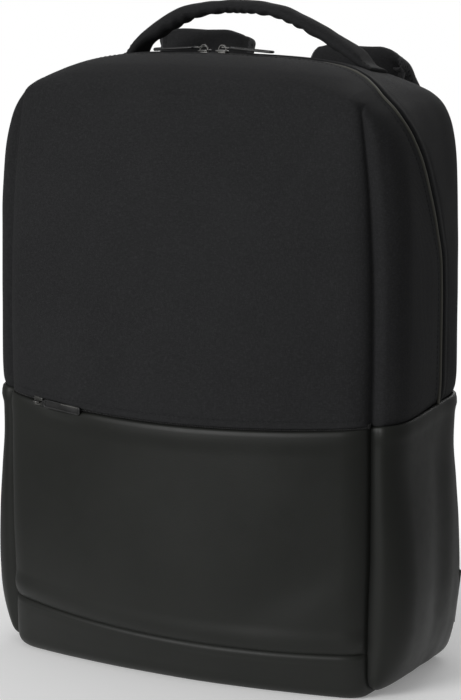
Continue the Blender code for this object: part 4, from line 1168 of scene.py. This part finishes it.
def strap(name, side):
    def ripple(wall, face, half, inset):
        # the edges sag where the strap bends over its crest, the right-hand one most
        sag = smooth(1.0 - inset / 0.026) ** 1.5 * smooth(
            (wall[..., 2] - STRAP_CRESTS[name] + 0.045) / 0.035)
        sag = sag * (0.3 + 0.7 * smooth((wall[..., 0] - side * STRAP_ROOT_X) / 0.02))
        return smooth(half / 0.003) * 0.0005 * crinkle(wall, 0.035, 83.0) + 0.0075 * sag

    def slots(number, inset):
        return np.where((number == 0) | (inset < 0.0030), 1, 0)

    rows = strap_rows(side, STRAP_CRESTS[name])
    piece, edge_line = strip("strap_" + name, rows, foam, [WOVEN, MESH], slots, count=170,
                             columns=49, ripple=ripple)
    tip = np.array(rows[-1][:3])
    along = unit(tip - np.array(rows[-2][:3]))
    return piece, edge_line, tip, along


# ---- hard pieces ----
class Hard:
    """Rounded blocks and wires in a frame of a place, a way along and a way out."""

    def __init__(self, place, along, out):
        along = Vector(along).normalized()
        out = Vector(out)
        out = (out - along * out.dot(along)).normalized()
        across = out.cross(along)
        turn = Matrix((along, across, out)).transposed().to_4x4()
        self.matrix = Matrix.Translation(Vector(place)) @ turn
        self.work = bmesh.new()

    def block(self, low, high, rounding, slot=0, narrow=1.0):
        made = bmesh.ops.create_cube(self.work, size=1.0)["verts"]
        low, high = Vector(low), Vector(high)
        for vert in made:
            vert.co = (low + high) / 2 + vert.co * (high - low)
            if vert.co.x > (low.x + high.x) / 2:
                vert.co.y *= narrow
        edges = list({edge for vert in made for edge in vert.link_edges})
        for face in {face for vert in made for face in vert.link_faces}:
            face.material_index = slot
        bmesh.ops.bevel(self.work, geom=edges, offset=rounding, segments=3, affect="EDGES",
                        profile=0.5, material=slot)

    def wire(self, points, radius, slot=0, loop=False, sides=10):
        points = [Vector(p) for p in points]
        count = len(points)
        rings = []
        side = None
        for i, point in enumerate(points):
            before = points[i - 1] if i or loop else point
            after = points[(i + 1) % count] if i + 1 < count or loop else point
            way = (after - before).normalized()
            if side is None:
                side = way.orthogonal().normalized()
            side = (side - way * side.dot(way)).normalized()
            up = way.cross(side)
            rings.append([self.work.verts.new(point + radius * (
                side * cos(2 * pi * k / sides) + up * sin(2 * pi * k / sides)))
                for k in range(sides)])
        for i in range(count if loop else count - 1):
            first, second = rings[i], rings[(i + 1) % count]
            for k in range(sides):
                face = self.work.faces.new((first[k], first[(k + 1) % sides],
                                            second[(k + 1) % sides], second[k]))
                face.material_index = slot
        if not loop:
            for ring in (rings[0], rings[-1]):
                self.work.faces.new(ring).material_index = slot

    def build(self, name, materials):
        bmesh.ops.recalc_face_normals(self.work, faces=self.work.faces[:])
        mesh = bpy.data.meshes.new(name)
        self.work.to_mesh(mesh)
        self.work.free()
        mesh.transform(self.matrix)
        for made in materials:
            mesh.materials.append(made)
        piece = show(name, mesh)
        mesh.set_sharp_from_angle(angle=radians(50))
        return piece


def rounded_loop(low_x, high_x, half_y, corner, z=0.0, steps=5):
    """A rounded rectangle in the frame's own plane."""
    points = []
    for cx, cy, start in ((high_x - corner, half_y - corner, 0.0),
                          (low_x + corner, half_y - corner, 90.0),
                          (low_x + corner, -half_y + corner, 180.0),
                          (high_x - corner, -half_y + corner, 270.0)):
        for k in range(steps + 1):
            angle = radians(start + 90.0 * k / steps)
            points.append((cx + corner * cos(angle), cy + corner * sin(angle), z))
    return points


FITTINGS = (
    # name, way along the pull, its length, foot of the slider below the pin
    ("main_left", (-0.997, -0.0055, -0.0775), 0.041, -0.0058),
    ("main_right", (0.9984, 0.0, -0.0568), 0.041, -0.0058),
    ("pocket", (0.9849, -0.165, -0.0533), 0.042, -0.0050),
)


def slider_piece(name, pin, along, out, foot):
    made = Hard(pin, along, out)
    made.block((-0.0042, -0.0036, -0.0033), (0.0042, 0.0036, -0.0021), 0.00055, narrow=0.82)
    made.block((-0.0032, -0.0014, foot), (0.0032, 0.0014, -0.0028), 0.0004)
    half = np.linspace(-1.0, 1.0, 17)
    bridge = [(0.0034 * s, 0.0, -0.0026 + 0.0040 * (1.0 - abs(s) ** 3.2)) for s in half]
    made.wire(bridge, 0.00062)
    return made.build(name + "_slider_body", [METAL])


def pull_piece(name, pin, along, out, length):
    made = Hard(pin, along, out)
    made.wire(rounded_loop(-0.0005, 0.0066, 0.0018, 0.0010), 0.00045, loop=True)
    thick = 0.0008
    made.block((0.0056, -0.0020, -thick), (0.0092, 0.0020, thick), 0.0006, 1)
    made.block((0.0080, -0.0022, -0.0005), (length - 0.001, 0.0022, 0.0004), 0.0003, 1)
    made.wire(rounded_loop(0.0080, length, 0.0024, 0.0016, 0.0001), 0.00085, 1, loop=True)
    if name == "main_left":
        made.block((length - 0.0055, -0.0026, -0.0011), (length + 0.0004, 0.0026, 0.0014),
                   0.0009, 1)
    # a strip of the dark metal along the pull's upper edge near its end, set where a highlight
    # falls: a painted highlight
    if name == "pocket":
        made.wire([(x, 0.0022, 0.0006) for x in np.linspace(length - 0.017, length - 0.001, 9)],
                  0.00065)
    return made.build(name + "_pull_body", [METAL, PLASTIC])


def lock_piece(name, tip, along, out):
    """A ladder-lock buckle: two rails and three bars, the middle one raised."""
    length, half = 0.026, 0.017
    middle = tip + along * (0.0004 + length / 2)
    made = Hard(middle, along, out)
    for side in (-1.0, 1.0):
        low, high = sorted((side * 0.0130, side * half))
        made.block((-length / 2, low, -0.0025), (length / 2, high, 0.0025), 0.0011)
    for place, wide, lift in ((-0.0110, 0.0020, 0.0), (0.0, 0.0024, 0.0004), (0.0108, 0.0022, 0.0)):
        made.block((place - wide, -0.0140, -0.0021 + lift), (place + wide, 0.0140, 0.0021 + lift),
                   0.0009)
    for place in np.linspace(-0.009, 0.009, 4):
        made.block((place - 0.0007, -0.0172, -0.0012), (place + 0.0007, -0.0166, 0.0012), 0.0002)
        made.block((place - 0.0007, 0.0166, -0.0012), (place + 0.0007, 0.0172, 0.0012), 0.0002)
    return made.build("buckle_" + name, [PLASTIC]), middle


def tab_rows(side):
    root_z, length, thick = 0.046, 0.036, 0.0026
    root = np.array((side * (float(back_half(np.array(root_z))) + thick / 2), BACK_Y + 0.0004,
                     root_z))
    way = unit(np.array((-side * 0.60, 0.72, 0.35)))
    up = np.array((0.0, 0.0, 1.0))
    across = unit(up - way * way.dot(up))
    tip = root + way * length
    rows = [(*root, *up, 0.048, thick), (*(root + (tip - root) * 0.3), *across, 0.040, thick),
            (*(root + (tip - root) * 0.6), *across, 0.031, thick),
            (*tip, *across, 0.0262, thick)]
    return rows, tip, way, across


def webbing_rows(middle, along, across, out, tip, way, tab_across):
    if across.dot(tab_across) < 0.0:
        tab_across = -tab_across
    start = middle + out * (0.0025 + 0.0004 + 0.00075)
    knee = start + along * (0.013 + 0.009)
    heel = tip + way * 0.009
    places = [start - along * 0.0087, start, start + along * 0.013, knee]
    places += [knee + (heel - knee) * share for share in (0.33, 0.67)]
    places += [heel, tip + way * 0.0006]
    turns = (0.0, 0.0, 0.0, 0.0, 0.4, 0.8, 1.0, 1.0)
    return [(*place, *unit(across + (tab_across - across) * turn), 0.025, 0.0015)
            for place, turn in zip(places, turns)]


# ---- the pieces, each with the body it rides and the nodes it stands for ----
def settle(piece, rides, slot, *replaced):
    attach(piece, rides)
    if replaced:
        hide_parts(*replaced)
    return piece


body = settle(upper(), "bag", "woven_cloth", "front_panel", "side_panel_left", "side_panel_right")
band = settle(rear(), "bag", "woven_cloth", "rear_gusset")
base = settle(coated_base(), "bag", "coated_cloth",
              "pocket_panel", "base_panel", "side_base_left", "side_base_right")
pad = settle(back_pad(), "bag", "air_mesh", "back_panel")

# the main zip
settle(ribbon("zip_tapes", [zip_points(shift) for shift in np.linspace(-0.0095, 0.0095, 13)]),
       "bag", "zip_tape", "main_zip")
settle(teeth("zip_coil", zip_points(COIL_SHIFT), zip_points(COIL_SHIFT - 0.001),
             zip_points(COIL_SHIFT + 0.001)), "bag", "")
cord = zip_points(-ZIP_OPENING / 2 + 0.0002 + PIPING_RADIUS)
# sunk out of sight over the middle of the top
from_end = np.minimum(ZIP_ROWS, LAST_ROW - ZIP_ROWS)
cord_depth = np.interp(from_end, (0.0, 9.0, 12.4, 13.8, 16.0),
                       (0.0003, 0.0002, 0.0001, 0.0017, 0.0019))
settle(tube("zip_cord", sink(cord, cord_depth), PIPING_RADIUS, PIPING, 12),
       "bag", "piping", "zip_piping")

# the pocket's zip
settle(ribbon("pocket_tapes", [pocket_points(offset) for offset in np.linspace(-0.008, 0.008, 11)]),
       "bag", "zip_tape", "pocket_zip")
settle(teeth("pocket_coil", pocket_points(0.0), pocket_points(-0.001), pocket_points(0.001)),
       "bag", "")

for name, along, length, foot in FITTINGS:
    joint = JOINTS[name + "_pull"]
    pin, out = joint["pos_m"], np.cross(joint["axis"], along)
    settle(slider_piece(name, pin, along, out, foot), "bag", "dark_metal", name + "_slider")
    settle(pull_piece(name, pin, along, out, length), name + "_pull", "black_plastic",
           name + "_pull")

grip, grip_line = handle()
settle(grip, "bag", "woven_cloth", "handle")

lines = []
for name, side in SIDES:
    piece, edge_line, tip, along = strap(name, side)
    settle(piece, "bag", "woven_cloth", "shoulder_strap_" + name)
    for edge in (-1.0, 1.0):
        for face in (-1.0, 1.0):
            lines.append(edge_line(0.0062, edge, face, 4, -4))
    across = np.array((1.0, 0.0, 0.0))
    across = unit(across - along * along[0])
    out = np.cross(along, across)
    buckle, middle = lock_piece(name, tip, along, out)
    settle(buckle, "bag", "black_plastic", "ladder_lock_" + name)
    rows, tab_tip, way, tab_across = tab_rows(side)
    tab, tab_line = strip("tab_" + name, rows, thin, [WEBBING], count=40, columns=25)
    settle(tab, "bag", "woven_cloth", "base_tab_" + name)
    for edge in (-1.0, 1.0):
        for face in (-1.0, 1.0):
            lines.append(tab_line(0.0030, edge, face, 6, -1))
    rows = webbing_rows(middle, along, across, out, tab_tip, way, tab_across)
    tape = strip("strap_tape_" + name, rows, thin, [WEBBING], count=120, columns=25)[0]
    settle(tape, "bag", "woven_cloth", "strap_webbing_" + name)

# threads, laid on the finished cloth
cloth_tree = surface_tree(body, band, base)
for shift in (-ZIP_OPENING / 2 - 0.0058, ZIP_OPENING / 2 + 0.0054):
    lines.append(laid(cloth_tree, zip_points(shift)))
x = FACE[4:-4] * SEAM_HALF
for z in (line_height(BASE_HEIGHT + 0.0064, x), band_seam(x) - 0.0046):
    lines.append(laid(cloth_tree, np.stack([x, front_y(x, z), z], -1)))
y = np.linspace(FRONT_Y + 0.006, BACK_Y - 0.006, 60)
for side in (-1.0, 1.0):
    lines.append(laid(cloth_tree, base_point(y, coated_seam(y) - 0.0100, side)))
for edge in (-1.0, 1.0):
    points, out = grip_line(0.0030, edge, 1.0)
    lines += [(points[2:24], out[2:24]), (points[-24:-2], out[-24:-2])]
settle(stitches("threads", lines, THREAD), "bag", "")


# ---- floor, light and camera ----
def studio():
    floor_mesh = bpy.data.meshes.new("floor")
    work = bmesh.new()
    bmesh.ops.create_circle(work, cap_ends=True, segments=64, radius=0.65)
    work.to_mesh(floor_mesh)
    work.free()
    floor = bpy.data.objects.new("floor", floor_mesh)
    COLLECTION.objects.link(floor)
    pale = material("floor", (0.90, 0.90, 0.90), 0.9)
    n = Nodes(pale)
    n.shader.inputs["Emission Color"].default_value = (1.0, 1.0, 1.0, 1.0)
    n.shader.inputs["Emission Strength"].default_value = 0.18
    # the floor thins out into the white around it
    far = n.add("ShaderNodeVectorMath", {0: n.place}, operation="LENGTH").outputs["Value"]
    edge = n.add("ShaderNodeMapRange", {"Value": far, "From Min": 0.20, "From Max": 0.45,
                                        "To Min": 1.0, "To Max": 0.0},
                 interpolation_type="SMOOTHSTEP").outputs[0]
    n.tree.links.new(edge, n.shader.inputs["Alpha"])
    floor_mesh.materials.append(pale)

    world = bpy.data.worlds.new("studio")
    bpy.context.scene.world = world
    world.use_nodes = True
    sky = world.node_tree.nodes["Background"]
    seen = world.node_tree.nodes.new("ShaderNodeLightPath").outputs["Is Camera Ray"]
    level = world.node_tree.nodes.new("ShaderNodeMapRange")
    level.inputs["To Min"].default_value = 0.27
    level.inputs["To Max"].default_value = 1.0
    world.node_tree.links.new(seen, level.inputs["Value"])
    world.node_tree.links.new(level.outputs[0], sky.inputs["Strength"])
    sky.inputs["Color"].default_value = (1.0, 1.0, 1.0, 1.0)
    bpy.context.scene.view_settings.view_transform = "Standard"
    aim = Vector((0.0, 0.0, 0.24))
    for name, place, size, power in (
            ("key", (-0.75, -2.25, 1.0), 1.2, 37.0),
            ("top", (-0.1, 0.0, 2.2), 1.6, 5.0),
            ("back", (-0.3, 2.0, 1.2), 1.4, 10.0)):
        light = bpy.data.lights.new(name, "AREA")
        light.energy = power
        light.size = size
        lamp = bpy.data.objects.new(name, light)
        lamp.location = place
        lamp.rotation_euler = (aim - lamp.location).to_track_quat("-Z", "Y").to_euler()
        COLLECTION.objects.link(lamp)

    # the photograph's camera
    azimuth, elevation, distance = radians(28.7), radians(10.2), 1.98
    aim = Vector((0.0012, 0.0, 0.229))
    way = Vector((sin(azimuth) * cos(elevation), -cos(azimuth) * cos(elevation), sin(elevation)))
    lens = bpy.data.cameras.new("camera")
    camera = bpy.data.objects.new("camera", lens)
    camera.location = aim + way * distance
    camera.rotation_euler = (-way).to_track_quat("-Z", "Y").to_euler()
    lens.lens = 137.73
    lens.sensor_width = 36.0
    COLLECTION.objects.link(camera)
    bpy.context.scene.camera = camera


studio()
